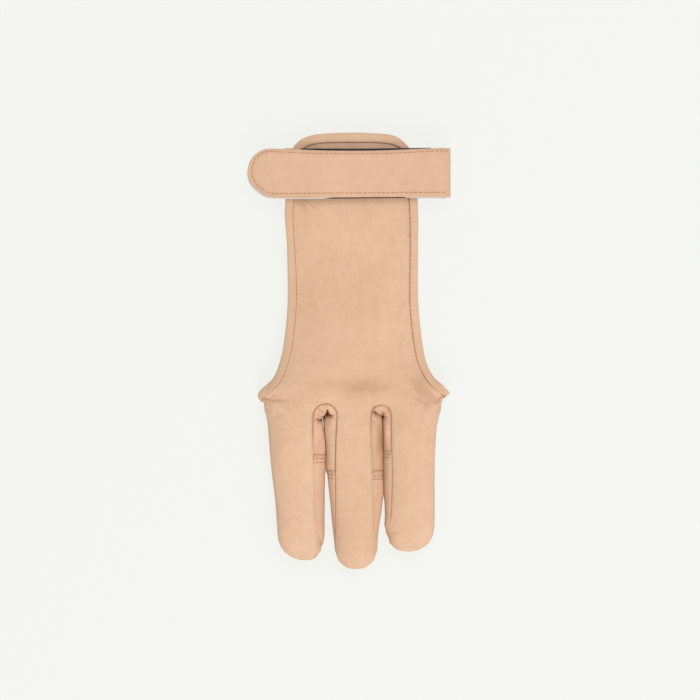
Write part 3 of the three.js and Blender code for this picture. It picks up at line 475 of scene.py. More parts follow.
def leather_tone_group():
    """Colour of the leather: slow blotches, fine speckle and mottle, darker along the stitch rows and
    burnished at the edges, with painted shade along the wrinkles, in the dips and folds, in dark lines at the
    seams and finger gaps, and near black in the pockets under the flaps.
    """
    group, given, result = new_group(
        "leather tone",
        [
            ("Leather", "NodeSocketColor", (0.76, 0.49, 0.33, 1)),
            ("Shade", "NodeSocketColor", (0.6, 0.35, 0.21, 1)),
            ("Seam", "NodeSocketColor", (0.25, 0.080, 0.032, 1)),
            ("Blotches", "NodeSocketFloat", 0.35),
            ("Edge", "NodeSocketFloat", 0.4),
        ],
        [("Color", "NodeSocketColor")],
    )
    place = wire(group, "ShaderNodeTexCoord").outputs["Object"]
    broad = noise_of(group, place, 38.0, 5.0, 0.55)
    fine = noise_of(group, place, 900.0, 3.0, 0.7)
    spread = spread_over(group, broad.outputs["Fac"], (0.38, 0.68), (0.0, 1.0))
    blotch = calc(group, "MULTIPLY", spread.outputs[0], given.outputs["Blotches"])
    speck = spread_over(group, fine.outputs["Fac"], (0.48, 0.7), (0.0, 0.22))
    middling = noise_of(group, place, 260.0, 3.0, 0.6)
    mottle = spread_over(group, middling.outputs["Fac"], (0.42, 0.7), (0.0, 0.26))
    # Painted shade along the fine wrinkle lines, where the leather is wrinkled.
    turned = wire(
        group, "ShaderNodeMapping",
        {"Vector": place, "Rotation": (0, 0, math.radians(-35)), "Scale": (0.007, 0.0016, 0.004)},
        vector_type="TEXTURE",
    )
    lines = noise_of(group, turned.outputs[0], 1.0, 2.0)
    wrinkle_line_shade = spread_over(group, lines.outputs["Fac"], (0.46, 0.66), (-0.15, 0.7))
    crumpled = wire(group, "ShaderNodeAttribute", attribute_name="wrinkled").outputs["Fac"]
    mottle_and_wrinkle_shade = calc(group, "MULTIPLY_ADD", wrinkle_line_shade.outputs[0], crumpled, mottle.outputs[0])
    specks_and_wrinkle_shade = calc(group, "ADD", speck.outputs[0], mottle_and_wrinkle_shade.outputs[0])
    near_edge = wire(group, "ShaderNodeAttribute", attribute_name="near_edge").outputs["Fac"]
    worn = calc(group, "MULTIPLY", near_edge, given.outputs["Edge"])
    sewn = wire(group, "ShaderNodeAttribute", attribute_name="near_stitch").outputs["Fac"]
    # Painted shade in the dips and folds, added to the darkening along the stitch rows.
    folded = wire(group, "ShaderNodeAttribute", attribute_name="painted_fold_shade").outputs["Fac"]
    fold_shade_share = calc(group, "MULTIPLY", folded, 0.95)
    stitch_darkening_and_fold_shade = calc(group, "MULTIPLY_ADD", sewn, 0.45, fold_shade_share.outputs[0])
    blotches_and_wrinkle_shade = calc(group, "ADD", blotch.outputs[0], specks_and_wrinkle_shade.outputs[0])
    edges = calc(group, "ADD", worn.outputs[0], stitch_darkening_and_fold_shade.outputs[0])
    amount = calc(group, "ADD", blotches_and_wrinkle_shade.outputs[0], edges.outputs[0], use_clamp=True)
    mixed = blend(group, amount.outputs[0], given.outputs["Leather"], given.outputs["Shade"])
    # Painted shade: dark lines at the seams, finger gaps and flap edges.
    seam = wire(group, "ShaderNodeAttribute", attribute_name="painted_seam_shade").outputs["Fac"]
    lined = blend(group, seam, mixed.outputs["Result"], given.outputs["Seam"])
    # Where that mask passes 1, the pockets under the flaps are painted near black as deep shade.
    pocket_shade_share = calc(group, "SUBTRACT", seam, 1.0, use_clamp=True)
    pocket = blend(group, pocket_shade_share.outputs[0], lined.outputs["Result"], (0.022, 0.009, 0.004, 1))
    group.links.new(pocket.outputs["Result"], result.inputs["Color"])
    return group


wrinkle_share = 0.6
grain_group = leather_grain_group()
tone_group = leather_tone_group()


def leather(name, color, shade, blotches=0.3, edge=0.45, roughness=0.72, pebbles=1100.0, relief=0.2):
    """A matt leather of this colour, with its grain."""
    material = bpy.data.materials.new(name)
    material.use_nodes = True
    tree = material.node_tree
    shader = tree.nodes["Principled BSDF"]
    tone = wire(tree, "ShaderNodeGroup", node_tree=tone_group)
    tone.inputs["Leather"].default_value = (*color, 1)
    tone.inputs["Shade"].default_value = (*shade, 1)
    tone.inputs["Blotches"].default_value = blotches
    tone.inputs["Edge"].default_value = edge
    grain = wire(tree, "ShaderNodeGroup", node_tree=grain_group)
    grain.inputs["Pebbles"].default_value = pebbles
    grain.inputs["Wrinkle"].default_value = wrinkle_share
    bump = wire(
        tree, "ShaderNodeBump",
        {"Strength": relief, "Distance": 0.3 * MM, "Height": grain.outputs["Height"]},
    )
    rough = spread_over(tree, grain.outputs["Pores"], (0.3, 0.7), (roughness - 0.08, roughness + 0.08))
    tree.links.new(tone.outputs["Color"], shader.inputs["Base Color"])
    tree.links.new(rough.outputs[0], shader.inputs["Roughness"])
    tree.links.new(bump.outputs["Normal"], shader.inputs["Normal"])
    shader.inputs["Specular IOR Level"].default_value = 0.25
    shader.inputs["Sheen Weight"].default_value = 0.08
    shader.inputs["Sheen Roughness"].default_value = 0.6
    return material


def smooth_where(piece, chosen, times):
    """Smooths those vertices of a piece that are chosen."""
    pick_alone(piece)
    bpy.ops.object.mode_set(mode="EDIT")
    bpy.ops.mesh.select_all(action="DESELECT")
    bpy.ops.object.mode_set(mode="OBJECT")
    for vertex in piece.data.vertices:
        vertex.select = chosen(vertex)
    bpy.ops.object.mode_set(mode="EDIT")
    bpy.ops.mesh.vertices_smooth(factor=0.5, repeat=times)
    bpy.ops.object.mode_set(mode="OBJECT")


def ease_over(piece, places, reach, lowest, times):
    """Smooths a piece's upper skin round some places, in millimetres, away from its edges."""
    inner_share = 0.05

    def on_upper_skin(vertex):
        place = Vector((vertex.co.x, vertex.co.y)) / MM
        near = any((place - Vector(spot)).length < reach for spot in places)
        if not near or vertex.co.z / MM <= lowest:
            return False
        return piece.data.attributes["near_edge"].data[vertex.index].value < inner_share

    smooth_where(piece, on_upper_skin, times)


back_color = (0.705, 0.460, 0.305)
back_shade = (0.565, 0.335, 0.205)
back = take_copy("back_panel", "back_leather")
soften(back, levels=2, crease=0.55)
ease_over(back, [(-33, -26), (-25, -26), (27, -26), (37, -26)], reach=9, lowest=9.5, times=80)
back.data.materials.append(leather("soft_tan_leather", back_color, back_shade))
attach(back, "root")
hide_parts("back_panel")


# Palm panel: a short piece of the same leather under the hand, sewn to the back along both sides and to the
# stalls under the fingers. It rests on the table.
palm = take_copy("palm_panel", "palm_leather")
soften(palm, levels=2, crease=0.55)
palm.data.materials.append(leather("palm_tan_leather", (0.72, 0.465, 0.31), back_shade))
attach(palm, "root")
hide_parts("palm_panel")


# Fourchettes: two narrow strips of thinner leather that line the gaps between the fingers. Each runs from
# one stall up the side of its finger, round the web and down to the next stall.
side_color = (0.735, 0.478, 0.322)
side_shade = (0.560, 0.325, 0.195)
side_leather = leather("fourchette_leather", side_color, side_shade, blotches=0.45, edge=0.4, relief=0.16)
# Lower edges of the flaps that the strips fold into at their webs, in millimetres. The leather stands up over
# an edge and drops away steeply under it, and is painted dark along the edge as the shade under the flap,
# over dark_reach below it.
flaps = [
    {"edge": [(-15.8, -33.6), (-14.85, -34.4), (-13.6, -34.1), (-12.6, -32.8),
              (-11.35, -31.2), (-10.7, -29.3), (-10.1, -31.1), (-9.3, -31.8)],
     "rise": 1.2, "drop": 2.4, "dark_reach": 0.6, "dark": 0.95},
    {"edge": [(13.05, -30.1), (14.8, -31.7), (17.3, -32.6)], "rise": 1.1, "drop": 2.2,
     "dark_reach": 0.5, "dark": 0.9},
    {"edge": [(-15.2, -28.7), (-13.1, -31.4)], "rise": 0.0, "drop": 0.0, "dark_reach": 0.22, "dark": 0.5},
]
# Where the leather of a web has been pushed down over its gap: place, reach and move in millimetres.
web_pulls = [{"x": -12.9, "y": -31.8, "wide": 1.3, "long": 1.6, "move": (0.0, -1.1)}]
# The deepest shade under the flaps: place and reach in millimetres.
pockets = rows_of(
    "x y wide long share",
    (-10.75, -31.6, 0.75, 1.25, 2.0),
    (-14.3, -34.9, 1.0, 0.45, 1.5),
    (-9.6, -33.0, 1.3, 0.8, 0.6),
    (17.2, -33.0, 0.6, 0.7, 1.9),
    (15.6, -32.4, 1.2, 0.35, 0.7),
    (16.3, -45.5, 1.5, 5.0, 0.36),
    (16.8, -56.0, 0.9, 9.0, 0.26),
)
flap_reach_mm = 1.9
drop_reach_mm = 1.3
# The two finger gaps in millimetres: the middle of each, where that leans to at the web, between which
# places the fingers lie against each other, half the width it was cut with, and how much leather moves.
gaps = rows_of(
    "x web_x lean_end from to wide reach slit",
    (-11.45, -13.4, -47.0, -37.0, -61.0, 0.42, 4.0, 0.45),
    (17.55, 16.85, -70.0, -29.0, -76.0, 0.42, 4.0, 0.0),
)
gap_fade_mm = 5
web_y_mm = -33
web_ease_mm = -39
web_rounds = 2
strip_low_mm = 3
strip_side_mm = 5
crease_width_mm = 0.3
# How dark the painted shade is in the line where two fingers meet.
gap_shade = 0.72
# Painted shade on the strips, where they fold in beside the gaps: place and reach in millimetres.
strip_fold_shades = rows_of(
    "x y wide long share",
    (15.4, -44.0, 2.0, 8.5, 1.0),
    (14.5, -50.0, 4.0, 16.0, 0.45),
    (-9.9, -35.0, 1.3, 2.6, 0.7),
    (-15.0, -47.0, 3.0, 8.0, 0.55),
)


def beside_path(place, path):
    """Distance from a place to a path, and whether the place lies above the path."""
    nearest = None
    for start, end in zip(path, path[1:]):
        start = Vector(start)
        run = Vector(end) - start
        share = between_zero_and_one((place - start).dot(run) / run.length_squared)
        away = place - start - run * share
        if nearest is None or away.length < nearest.length:
            nearest = away
    return nearest.length, nearest.y > 0


def close_gaps(piece):
    """Fingers that lie against each other: their sides meet in the middle of the gap, in a dark line of
    painted shade.
    """
    lines = piece.data.attributes["painted_seam_shade"].data
    for vertex in piece.data.vertices:
        for gap in gaps:
            x = vertex.co.x / MM - gap["x"]
            y = vertex.co.y / MM
            if abs(x) > gap["reach"] or y > web_y_mm + gap["reach"]:
                continue
            lean = between_zero_and_one((y - gap["lean_end"]) / (web_y_mm - gap["lean_end"]))
            top_fade = 1 - gap["slit"] * (1 - between_zero_and_one((gap["from"] - y) / 2))
            fade = top_fade * between_zero_and_one((y - gap["to"]) / gap_fade_mm)
            stretch = gap["reach"] / (gap["reach"] - gap["wide"])
            closed = max(0.01, (abs(x) - gap["wide"]) * stretch)
            side_fade = 1 - abs(x) / gap["reach"]
            vertex.co.x -= math.copysign((abs(x) - closed) * fade * MM, x)
            vertex.co.x += (gap["web_x"] - gap["x"]) * lean * side_fade * MM
            # On the upper skin, the leather where the sides meet is painted dark as the shade deep in the
            # gap.
            if vertex.co.z / MM > 4:
                dark = between_zero_and_one(1.3 - closed / crease_width_mm) * fade
                dark *= gap_shade * between_zero_and_one(web_y_mm - y)
                lines[vertex.index].value = max(lines[vertex.index].value, dark)


# Where a strip is pushed up by the finger beside it: place, reach and height in millimetres.
bulges = rows_of(
    "x y wide long rise",
    (18.0, -40.0, 1.5, 6.0, 1.3),
    (-13.6, -42.0, 1.6, 6.0, 0.8),
)


def fold_webs(piece):
    """The flaps and bulges at the webs, with painted shade along the flap edges, in the pockets and on the
    folds, in the two strips alone.
    """
    lines = piece.data.attributes["painted_seam_shade"].data
    fold_shade_values = piece.data.attributes["painted_fold_shade"].data
    for vertex in piece.data.vertices:
        place = Vector((vertex.co.x, vertex.co.y)) / MM
        high = between_zero_and_one((vertex.co.z / MM - strip_low_mm) / strip_side_mm)
        for bulge in bulges:
            vertex.co.z += bulge["rise"] * MM * high * spot_share(place.x, place.y, bulge)
        for flap in flaps:
            if abs(place.x - flap["edge"][0][0]) > 12 or high == 0:
                continue
            away, above = beside_path(place, flap["edge"])
            if above:
                vertex.co.z += flap["rise"] * MM * high * math.exp(-((away / flap_reach_mm) ** 2))
            else:
                vertex.co.z -= flap["drop"] * MM * high * math.exp(-((away / drop_reach_mm) ** 2))
            # Painted shade along each flap's edge: wide under it, narrow over it.
            dark_reach = 0.2 if above else flap["dark_reach"]
            dark = flap["dark"] * math.exp(-((away / dark_reach) ** 2)) * high
            lines[vertex.index].value = max(lines[vertex.index].value, dark)
        # Painted shade: near black in the pockets under the flaps, softer where the strips fold in.
        for pocket in pockets:
            share = pocket["share"] * high * spot_share(place.x, place.y, pocket)
            lines[vertex.index].value = max(lines[vertex.index].value, share)
        for fold_shade_spot in strip_fold_shades:
            share = fold_shade_spot["share"] * spot_share(place.x, place.y, fold_shade_spot)
            fold_shade_values[vertex.index].value = max(fold_shade_values[vertex.index].value, share)


def in_web(vertex):
    """Whether a vertex lies at a web, where a strip has been folded most."""
    return vertex.co.y / MM > web_ease_mm and vertex.co.z / MM > strip_low_mm


strips = []
for node in ["ring_middle_fourchette", "middle_index_fourchette"]:
    strip = take_copy(node, f"{node}_leather")
    soften(strip, levels=3, crease=0.55)
    close_gaps(strip)
    pull_piece(strip, web_pulls)
    fold_webs(strip)
    smooth_where(strip, in_web, web_rounds)
    strips.append(strip)
    strip.data.materials.append(side_leather)
    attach(strip, "root")
    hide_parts(node)


# Finger stalls: firm, thicker leather caps under the finger tips, where the bowstring is drawn. Their cut
# top edge laps the fourchettes and the palm, and two rows of stitches hold it.
stall_color = (0.672, 0.436, 0.288)
stall_shade = (0.600, 0.360, 0.222)
stall_leather = leather("stall_leather", stall_color, stall_shade, blotches=0.4, edge=0.0, roughness=0.66)
stalls = {}
for finger in ["ring", "middle", "index"]:
    stall = take_copy(f"{finger}_stall", f"{finger}_stall_leather")
    soften(stall, levels=2, crease=0.85)
    close_gaps(stall)
    stall.data.materials.append(stall_leather)
    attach(stall, "root")
    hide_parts(f"{finger}_stall")
    stalls[finger] = stall


# Edge binding: a thin leather strip turned over the raw edge of the tail and the hand's mouth, and sewn
# through beside its inner edge.
binding_color = (0.662, 0.442, 0.296)
binding_shade = (0.610, 0.370, 0.228)
binding_pulls = rows_of(
    "x y wide long move",
    (-39.0, -22.5, 3.5, 3.5, (0.7, -0.9)),
    (46.3, -21.0, 3.0, 2.2, (0.1, -1.7)),
    (41.5, -19.0, 3.0, 2.0, (-0.3, -0.9)),
    (-26.6, 60.0, 1.8, 26.0, (-1.1, 0.0)),
    (29.7, 52.0, 1.6, 26.0, (0.6, 0.0)),
)
binding = take_copy("edge_binding", "binding_leather")
soften(binding, levels=2, crease=0.35, sharp_degrees=60)
pull_piece(binding, binding_pulls)
binding.data.materials.append(
    leather("binding_leather", binding_color, binding_shade, blotches=0.3, edge=0.3, pebbles=1300.0)
)
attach(binding, "root")
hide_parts("edge_binding")


# Sewing: the thread pulls the panels' edges together, so each edge moves to the pieces beside it.
def skin_tree(piece):
    return BVHTree.FromObject(piece, bpy.context.evaluated_depsgraph_get())


def lies_near(point, spots):
    """Whether a point lies in one of some round spots: x, y and reach in millimetres."""
    return any(math.hypot(point.x / MM - x, point.y / MM - y) < reach for x, y, reach in spots)


def draw_together(pieces, reach, left_open, spots=None, edge_share=0.0):
    """Closes the seams between pieces: what lies within reach of another piece moves half way to it."""
    trees = [skin_tree(piece) for piece in pieces]
    moves = []
    for number, piece in enumerate(pieces):
        others = [tree for index, tree in enumerate(trees) if index != number]
        edge = piece.data.attributes["near_edge"].data
        for vertex in piece.data.vertices:
            if edge[vertex.index].value < edge_share:
                continue
            if spots is not None and not lies_near(vertex.co, spots):
                continue
            found = [tree.find_nearest(vertex.co, reach) for tree in others]
            found = [hit for hit in found if hit[0] is not None]
            if not found:
                continue
            nearest = min(found, key=lambda hit: hit[3])
            fade = between_zero_and_one(2 - 2 * nearest[3] / reach)
            pull = 0.5 * max(0, nearest[3] - left_open) * fade
            if nearest[3] > 1e-7:
                moves.append((vertex, (nearest[0] - vertex.co).normalized() * pull))
    for vertex, move in moves:
        vertex.co += move
    for piece in pieces:
        piece.data.update()


sewn_pieces = [back, palm, *strips, *stalls.values(), binding]
seam_reach = 0.75 * MM
seam_open = 0.02 * MM
tip_reach = 2.2 * MM
tips = [(-22, -97, 13), (3, -102, 15), (30, -94, 13)]
end_reach = 5 * MM
end_edge_share = 0.4
finger_ends = [(-22.5, -104, 7), (3, -108, 7), (29.5, -99, 7)]
corner_reach = 2.4 * MM
corners = [(-42, -24, 5), (48, -22, 5)]
rough_tips = [(19.6, -92.0, 4.0), (-13.1, -96.5, 4.0)]
tip_rounds = 20
for piece in [back, stalls["index"], stalls["ring"]]:
    smooth_where(piece, lambda vertex: lies_near(vertex.co, rough_tips), tip_rounds)
draw_together(sewn_pieces, seam_reach, seam_open)
for _ in range(3):
    draw_together([back, *stalls.values()], tip_reach, seam_open, tips)
for _ in range(3):
    draw_together([back, *stalls.values()], end_reach, seam_open, finger_ends, end_edge_share)
draw_together([back, binding], corner_reach, seam_open, corners)

# The stalls' top edges lap over the ends of the strips and stand a little proud of them.
lip_long_mm = 2.2
lip_forward_mm = 0.55
lip_proud = 0.05
strip_longer_mm = 0.9
strip_end_mm = 3
finger_middle_mm = 8
lap_step_degrees = 10


def lap_over(stall):
    """Moves a stall's top edge forward and outward, all round the finger."""
    low = min(vertex.co.x for vertex in stall.data.vertices) / MM
    high = max(vertex.co.x for vertex in stall.data.vertices) / MM
    middle = (low + high) / 2
    edges = {}

    def way_round(vertex):
        up = vertex.co.z / MM - finger_middle_mm
        aside = vertex.co.x / MM - middle
        return round(math.degrees(math.atan2(up, aside)) / lap_step_degrees)

    for vertex in stall.data.vertices:
        way = way_round(vertex)
        edges[way] = max(edges.get(way, -200), vertex.co.y / MM)
    for vertex in stall.data.vertices:
        near = between_zero_and_one(1 - (edges[way_round(vertex)] - vertex.co.y / MM) / lip_long_mm)
        vertex.co.y += lip_forward_mm * near * MM
        vertex.co.z += (vertex.co.z - finger_middle_mm * MM) * lip_proud * near
        vertex.co.x += (vertex.co.x - middle * MM) * lip_proud * 0.3 * near
        vertex.co.z = max(vertex.co.z, 0)


def reach_under(strip, gap):
    """Lengthens both ends of a strip, so that they lie inside the stalls' edges."""
    for side in [-1, 1]:
        leg = [vertex for vertex in strip.data.vertices if (vertex.co.x / MM - gap["x"]) * side > 0]
        end = min(vertex.co.y for vertex in leg) / MM
        for vertex in leg:
            near = between_zero_and_one(1 - (vertex.co.y / MM - end) / strip_end_mm)
            vertex.co.y -= strip_longer_mm * near * MM


for stall in stalls.values():
    lap_over(stall)
for strip, gap in zip(strips, gaps):
    reach_under(strip, gap)

# The seams that show as a fine dark line of painted shade in the seam's groove: round the two webs, and down
# the left sides of the middle and index fingers to their tips. Each is told by the pieces that meet there and
# a stretch across the fingers, in millimetres, with how dark it is at the web and at its end.
seam_shades = rows_of(
    "pieces left right end dark sides",
    ([back, strips[0]], -20.0, -12.0, -50.0, (0.85, 0.2), 2),
    ([back, strips[0]], -12.0, -4.0, -66.0, (0.85, 0.85), 2),
    ([back, strips[1]], 9.0, 16.5, -45.0, (0.7, 0.1), 2),
    ([back, strips[1]], 16.5, 24.0, -66.0, (0.65, 0.7), 2),
    ([back, stalls["middle"]], -12.0, -4.0, -100.0, (0.8, 0.6), 2),
    ([back, stalls["index"]], 16.0, 23.0, -88.0, (0.5, 0.6), 2),
    ([strips[0], stalls["ring"]], -20.0, -10.0, -62.0, (0.75, 0.75), 1),
    ([strips[0], stalls["middle"]], -13.0, -4.0, -68.0, (0.8, 0.8), 1),
    ([strips[1], stalls["middle"]], 9.0, 18.0, -68.0, (0.75, 0.75), 1),
    ([strips[1], stalls["index"]], 16.0, 24.0, -62.0, (0.9, 0.9), 1),
)
line_width = 0.35 * MM


def paint_seam_shade(seams):
    """Paints shade on both pieces of each seam, on the leather that lies right at the seam."""
    for seam in seams:
        first, second = seam["pieces"]
        both = [(first, skin_tree(second)), (second, skin_tree(first))]
        for piece, tree in both[: seam["sides"]]:
            mask = piece.data.attributes["painted_seam_shade"].data
            edge = piece.data.attributes["near_edge"].data
            for vertex in piece.data.vertices:
                x = vertex.co.x / MM
                y = vertex.co.y / MM
                if not seam["left"] < x < seam["right"] or y < seam["end"] or edge[vertex.index].value < 0.3:
                    continue
                hit = tree.find_nearest(vertex.co, line_width)
                if hit[0] is None:
                    continue
                end_fade = between_zero_and_one((y - seam["end"]) / 6)
                down = between_zero_and_one((web_y_mm - y) / (web_y_mm - seam["end"]))
                dark = seam["dark"][0] + (seam["dark"][1] - seam["dark"][0]) * down
                share = between_zero_and_one(1.4 - 1.4 * hit[3] / line_width) * end_fade * dark
                mask[vertex.index].value = max(mask[vertex.index].value, share)


paint_seam_shade(seam_shades)


# Wrist strap: a leather band sewn to the tail at one end. It goes round the wrist, turns back over its
# fold at the right and closes over the tail, with a rounded free end.
strap_color = (0.690, 0.444, 0.297)
strap_shade = (0.590, 0.360, 0.225)
strap_low, strap_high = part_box("wrist_strap")
strap_middle_mm = (strap_low.y + strap_high.y) / 2 / MM
strap_half_mm = (strap_high.y - strap_low.y) / 2 / MM
strap_dip_reach_mm = 42
front_layer_mm = 9
low_edge_run_mm = 60
low_edge_least = 0.4


def raise_low_edge(piece, height_mm):
    """The strap's lower edge moves up a little, most of it at the right."""
    for vertex in piece.data.vertices:
        low = between_zero_and_one((strap_middle_mm - vertex.co.y / MM) / strap_half_mm)
        right = between_zero_and_one(0.5 + vertex.co.x / MM / low_edge_run_mm)
        share = low_edge_least + (1 - low_edge_least) * right
        vertex.co.y += height_mm * MM * low * share


def dip_top_edge(piece, depth_mm):
    """The strap's top edge, on its front layer, dips a little in the middle."""
    for vertex in piece.data.vertices:
        x = vertex.co.x / MM
        y = vertex.co.y / MM
        if vertex.co.z / MM < front_layer_mm or y < strap_middle_mm:
            continue
        up = between_zero_and_one((y - strap_middle_mm) / strap_half_mm)
        vertex.co.y -= depth_mm * MM * up * max(0, 1 - (x / strap_dip_reach_mm) ** 2)


end_pulls = rows_of(
    "x y wide long move",
    (-48.0, 78.0, 9.0, 6.5, (0.45, 0.5)),
    (-51.0, 85.0, 5.0, 12.0, (0.3, 0.1)),
)
rim_pulls = [{"x": -51.0, "y": 83.0, "wide": 7.0, "long": 12.0, "move": (-0.4, -0.2)}]
strap = take_copy("wrist_strap", "strap_leather")
soften(strap, levels=2, crease=0.45, sharp_degrees=60)
pull_piece(strap, end_pulls)
dip_top_edge(strap, 0.55)
raise_low_edge(strap, 0.75)
strap.data.materials.append(
    leather("strap_leather", strap_color, strap_shade, blotches=0.3, edge=0.25, relief=0.1)
)
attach(strap, "root")
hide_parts("wrist_strap")


# Strap lining: thin off-white cloth-backed lining glued under the strap and sewn along its edges. A
# narrow line of it shows below the strap.
lining = take_copy("strap_lining", "lining_cloth")
soften(lining, levels=2, crease=0.45, sharp_degrees=60)
pull_piece(lining, rim_pulls)
dip_top_edge(lining, 1.3)
raise_low_edge(lining, 1.0)
trim_left_mm = -12
trim_right_mm = 30
trim_left_fade_mm = 4
trim_right_fade_mm = 3
trim_mm = 0.75
for vertex in lining.data.vertices:
    x = vertex.co.x / MM
    low = strap_middle_mm - vertex.co.y / MM
    inside = between_zero_and_one((x - trim_left_mm) / trim_left_fade_mm)
    inside *= between_zero_and_one((trim_right_mm - x) / trim_right_fade_mm)
    if vertex.co.z / MM > front_layer_mm and low > 0:
        vertex.co.y += trim_mm * MM * inside * low / strap_half_mm
lining.data.materials.append(
    leather("off_white_lining", (0.80, 0.76, 0.71), (0.62, 0.56, 0.5), blotches=0.3, edge=0.2, pebbles=1700.0)
)
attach(lining, "root")
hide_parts("strap_lining")


# Hook and loop: two lengths of woven nylon tape. The hook tape is sewn under the strap's free end and the
# loop tape on the tail, and their dark edges show in the gap.
tape_color = (0.018, 0.019, 0.028)
tape_fuzz_sheen = (0.11, 0.115, 0.14)
hook_longer_mm = 3.2


def woven_tape(name):
    """Dark woven tape with a fuzzy face, its lighter specks painted sheen where the fuzz catches the light.
    """
    material = bpy.data.materials.new(name)
    material.use_nodes = True
    tree = material.node_tree
    shader = tree.nodes["Principled BSDF"]
    place = wire(tree, "ShaderNodeTexCoord").outputs["Object"]
    fuzz = noise_of(tree, place, 3200.0, 2.0, 0.7)
    loops = wire(tree, "ShaderNodeTexVoronoi", {"Vector": place, "Scale": 1500.0})
    # Lighter specks of painted sheen on the fuzz.
    lit = spread_over(tree, fuzz.outputs["Fac"], (0.5, 0.75), (0.0, 1.0))
    tone = blend(tree, lit.outputs[0], (*tape_color, 1), (*tape_fuzz_sheen, 1))
    bump = wire(
        tree, "ShaderNodeBump",
        {"Strength": 0.6, "Distance": 0.4 * MM, "Height": loops.outputs["Distance"]},
    )
    tree.links.new(tone.outputs["Result"], shader.inputs["Base Color"])
    tree.links.new(bump.outputs["Normal"], shader.inputs["Normal"])
    shader.inputs["Roughness"].default_value = 0.85
    return material


for node, slot in [("hook_strip", "hook_tape"), ("loop_pad", "loop_tape")]:
    tape = take_copy(node, f"{node}_tape")
    bpy.ops.object.mode_set(mode="EDIT")
    bpy.ops.mesh.select_all(action="SELECT")
    bpy.ops.mesh.subdivide(number_cuts=12)
    bpy.ops.object.mode_set(mode="OBJECT")
    dip_top_edge(tape, 0.5)
    raise_low_edge(tape, 1.0)
    for vertex in tape.data.vertices:
        vertex.co.z += settle(vertex.co)
        if node == "hook_strip":
            vertex.co.x -= hook_longer_mm * MM * between_zero_and_one((-5 - vertex.co.x / MM) / 10)
    tape.data.materials.append(woven_tape(f"{slot}_weave"))
    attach(tape, "root")
    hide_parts(node)


# Stitches: brown thread, about 2 mm a stitch. Each stitch is a short bent length of thread that goes down
# into the leather at both ends.
thread_color = (0.330, 0.130, 0.055)
thread_radius = 0.15 * MM
search_height = 0.1


def surface_of(*pieces):
    """What the thread is sewn into, ready to be searched from above."""
    return [skin_tree(piece) for piece in pieces]


def drop(surfaces, x, y):
    """Highest point of the surfaces over a place, with its normal."""
    start = Vector((x, y, search_height))
    hits = [surface.ray_cast(start, Vector((0, 0, -1))) for surface in surfaces]
    hits = [hit for hit in hits if hit[0] is not None]
    if not hits:
        return None
    return min(hits, key=lambda hit: hit[3])[:2]


def press_row(piece, path, reach, depth, worn=1.0):
    """The leather drawn in along a row of stitches: a path of places in millimetres."""
    points = []
    for start, end in zip(path, path[1:]):
        run = Vector(end) - Vector(start)
        count = max(1, int(run.length / 0.3))
        points.extend((Vector(start) + run * (index / count)) * MM for index in range(count))
    tree = point_tree([Vector((point.x, point.y, 0)) for point in points])
    mask = piece.data.attributes["near_stitch"]
    top = [vertex.normal.z for vertex in piece.data.vertices]
    for vertex in piece.data.vertices:
        distance = tree.find(Vector((vertex.co.x, vertex.co.y, 0)))[2]
        share = math.exp(-((distance / reach) ** 2)) * between_zero_and_one(top[vertex.index] * 1.5)
        mask.data[vertex.index].value = max(mask.data[vertex.index].value, share * worn)
        vertex.co.z -= share * depth
    piece.data.update()


def sew(name, surfaces, path, pitch, stitch, radius, material, slant=0.0):
    """Stitches along a path of places in millimetres, lying on the surfaces."""
    curve = bpy.data.curves.new(name, "CURVE")
    curve.dimensions = "3D"
    curve.bevel_depth = radius
    curve.bevel_resolution = 1
    curve.use_fill_caps = True
    route = [Vector(place) * MM for place in path]
    lengths = [0.0]
    for start, end in zip(route, route[1:]):
        lengths.append(lengths[-1] + (end - start).length)

    def along(distance):
        index = 0
        while index < len(route) - 2 and lengths[index + 1] < distance:
            index += 1
        run = max(lengths[index + 1] - lengths[index], 1e-9)
        return route[index].lerp(route[index + 1], (distance - lengths[index]) / run)

    count = int(lengths[-1] / pitch)
    for index in range(count):
        first = (index + 0.5) * pitch - stitch / 2
        points = []
        for share, rise in [(0.0, -1.2), (0.18, 0.35), (0.5, 0.6), (0.82, 0.35), (1.0, -1.2)]:
            place = along(first + share * stitch)
            place.y += slant * (0.5 - share)
            found = drop(surfaces, place.x, place.y)
            if found is not None:
                points.append(found[0] + found[1] * rise * radius)
        if len(points) == 5:
            spline = curve.splines.new("POLY")
            spline.points.add(4)
            for point, place in zip(spline.points, points):
                point.co = (*place, 1)
    row = bpy.data.objects.new(name, curve)
    bpy.context.collection.objects.link(row)
    curve.materials.append(material)
    pick_alone(row)
    bpy.ops.object.convert(target="MESH")
    bpy.ops.object.shade_smooth()
    row = bpy.context.object
    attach(row, "root")
    return row


thread = bpy.data.materials.new("brown_thread")
thread.use_nodes = True
thread_shader = thread.node_tree.nodes["Principled BSDF"]
thread_place = wire(thread.node_tree, "ShaderNodeTexCoord").outputs["Object"]
thread_twist = noise_of(thread.node_tree, thread_place, 4000.0, 2.0)
thread_tone = blend(thread.node_tree, thread_twist.outputs["Fac"], (*thread_color, 1), (0.50, 0.26, 0.125, 1))
thread.node_tree.links.new(thread_tone.outputs["Result"], thread_shader.inputs["Base Color"])
thread_shader.inputs["Roughness"].default_value = 0.7

strap_inset_mm = 1.35
low_inset_mm = 2.15
strap_left_mm = strap_low.x / MM
strap_right_mm = strap_high.x / MM - 1.2
strap_waist_mm = 1.6
strap_rise_mm = 0.6
round_middle_mm = strap_left_mm + strap_half_mm


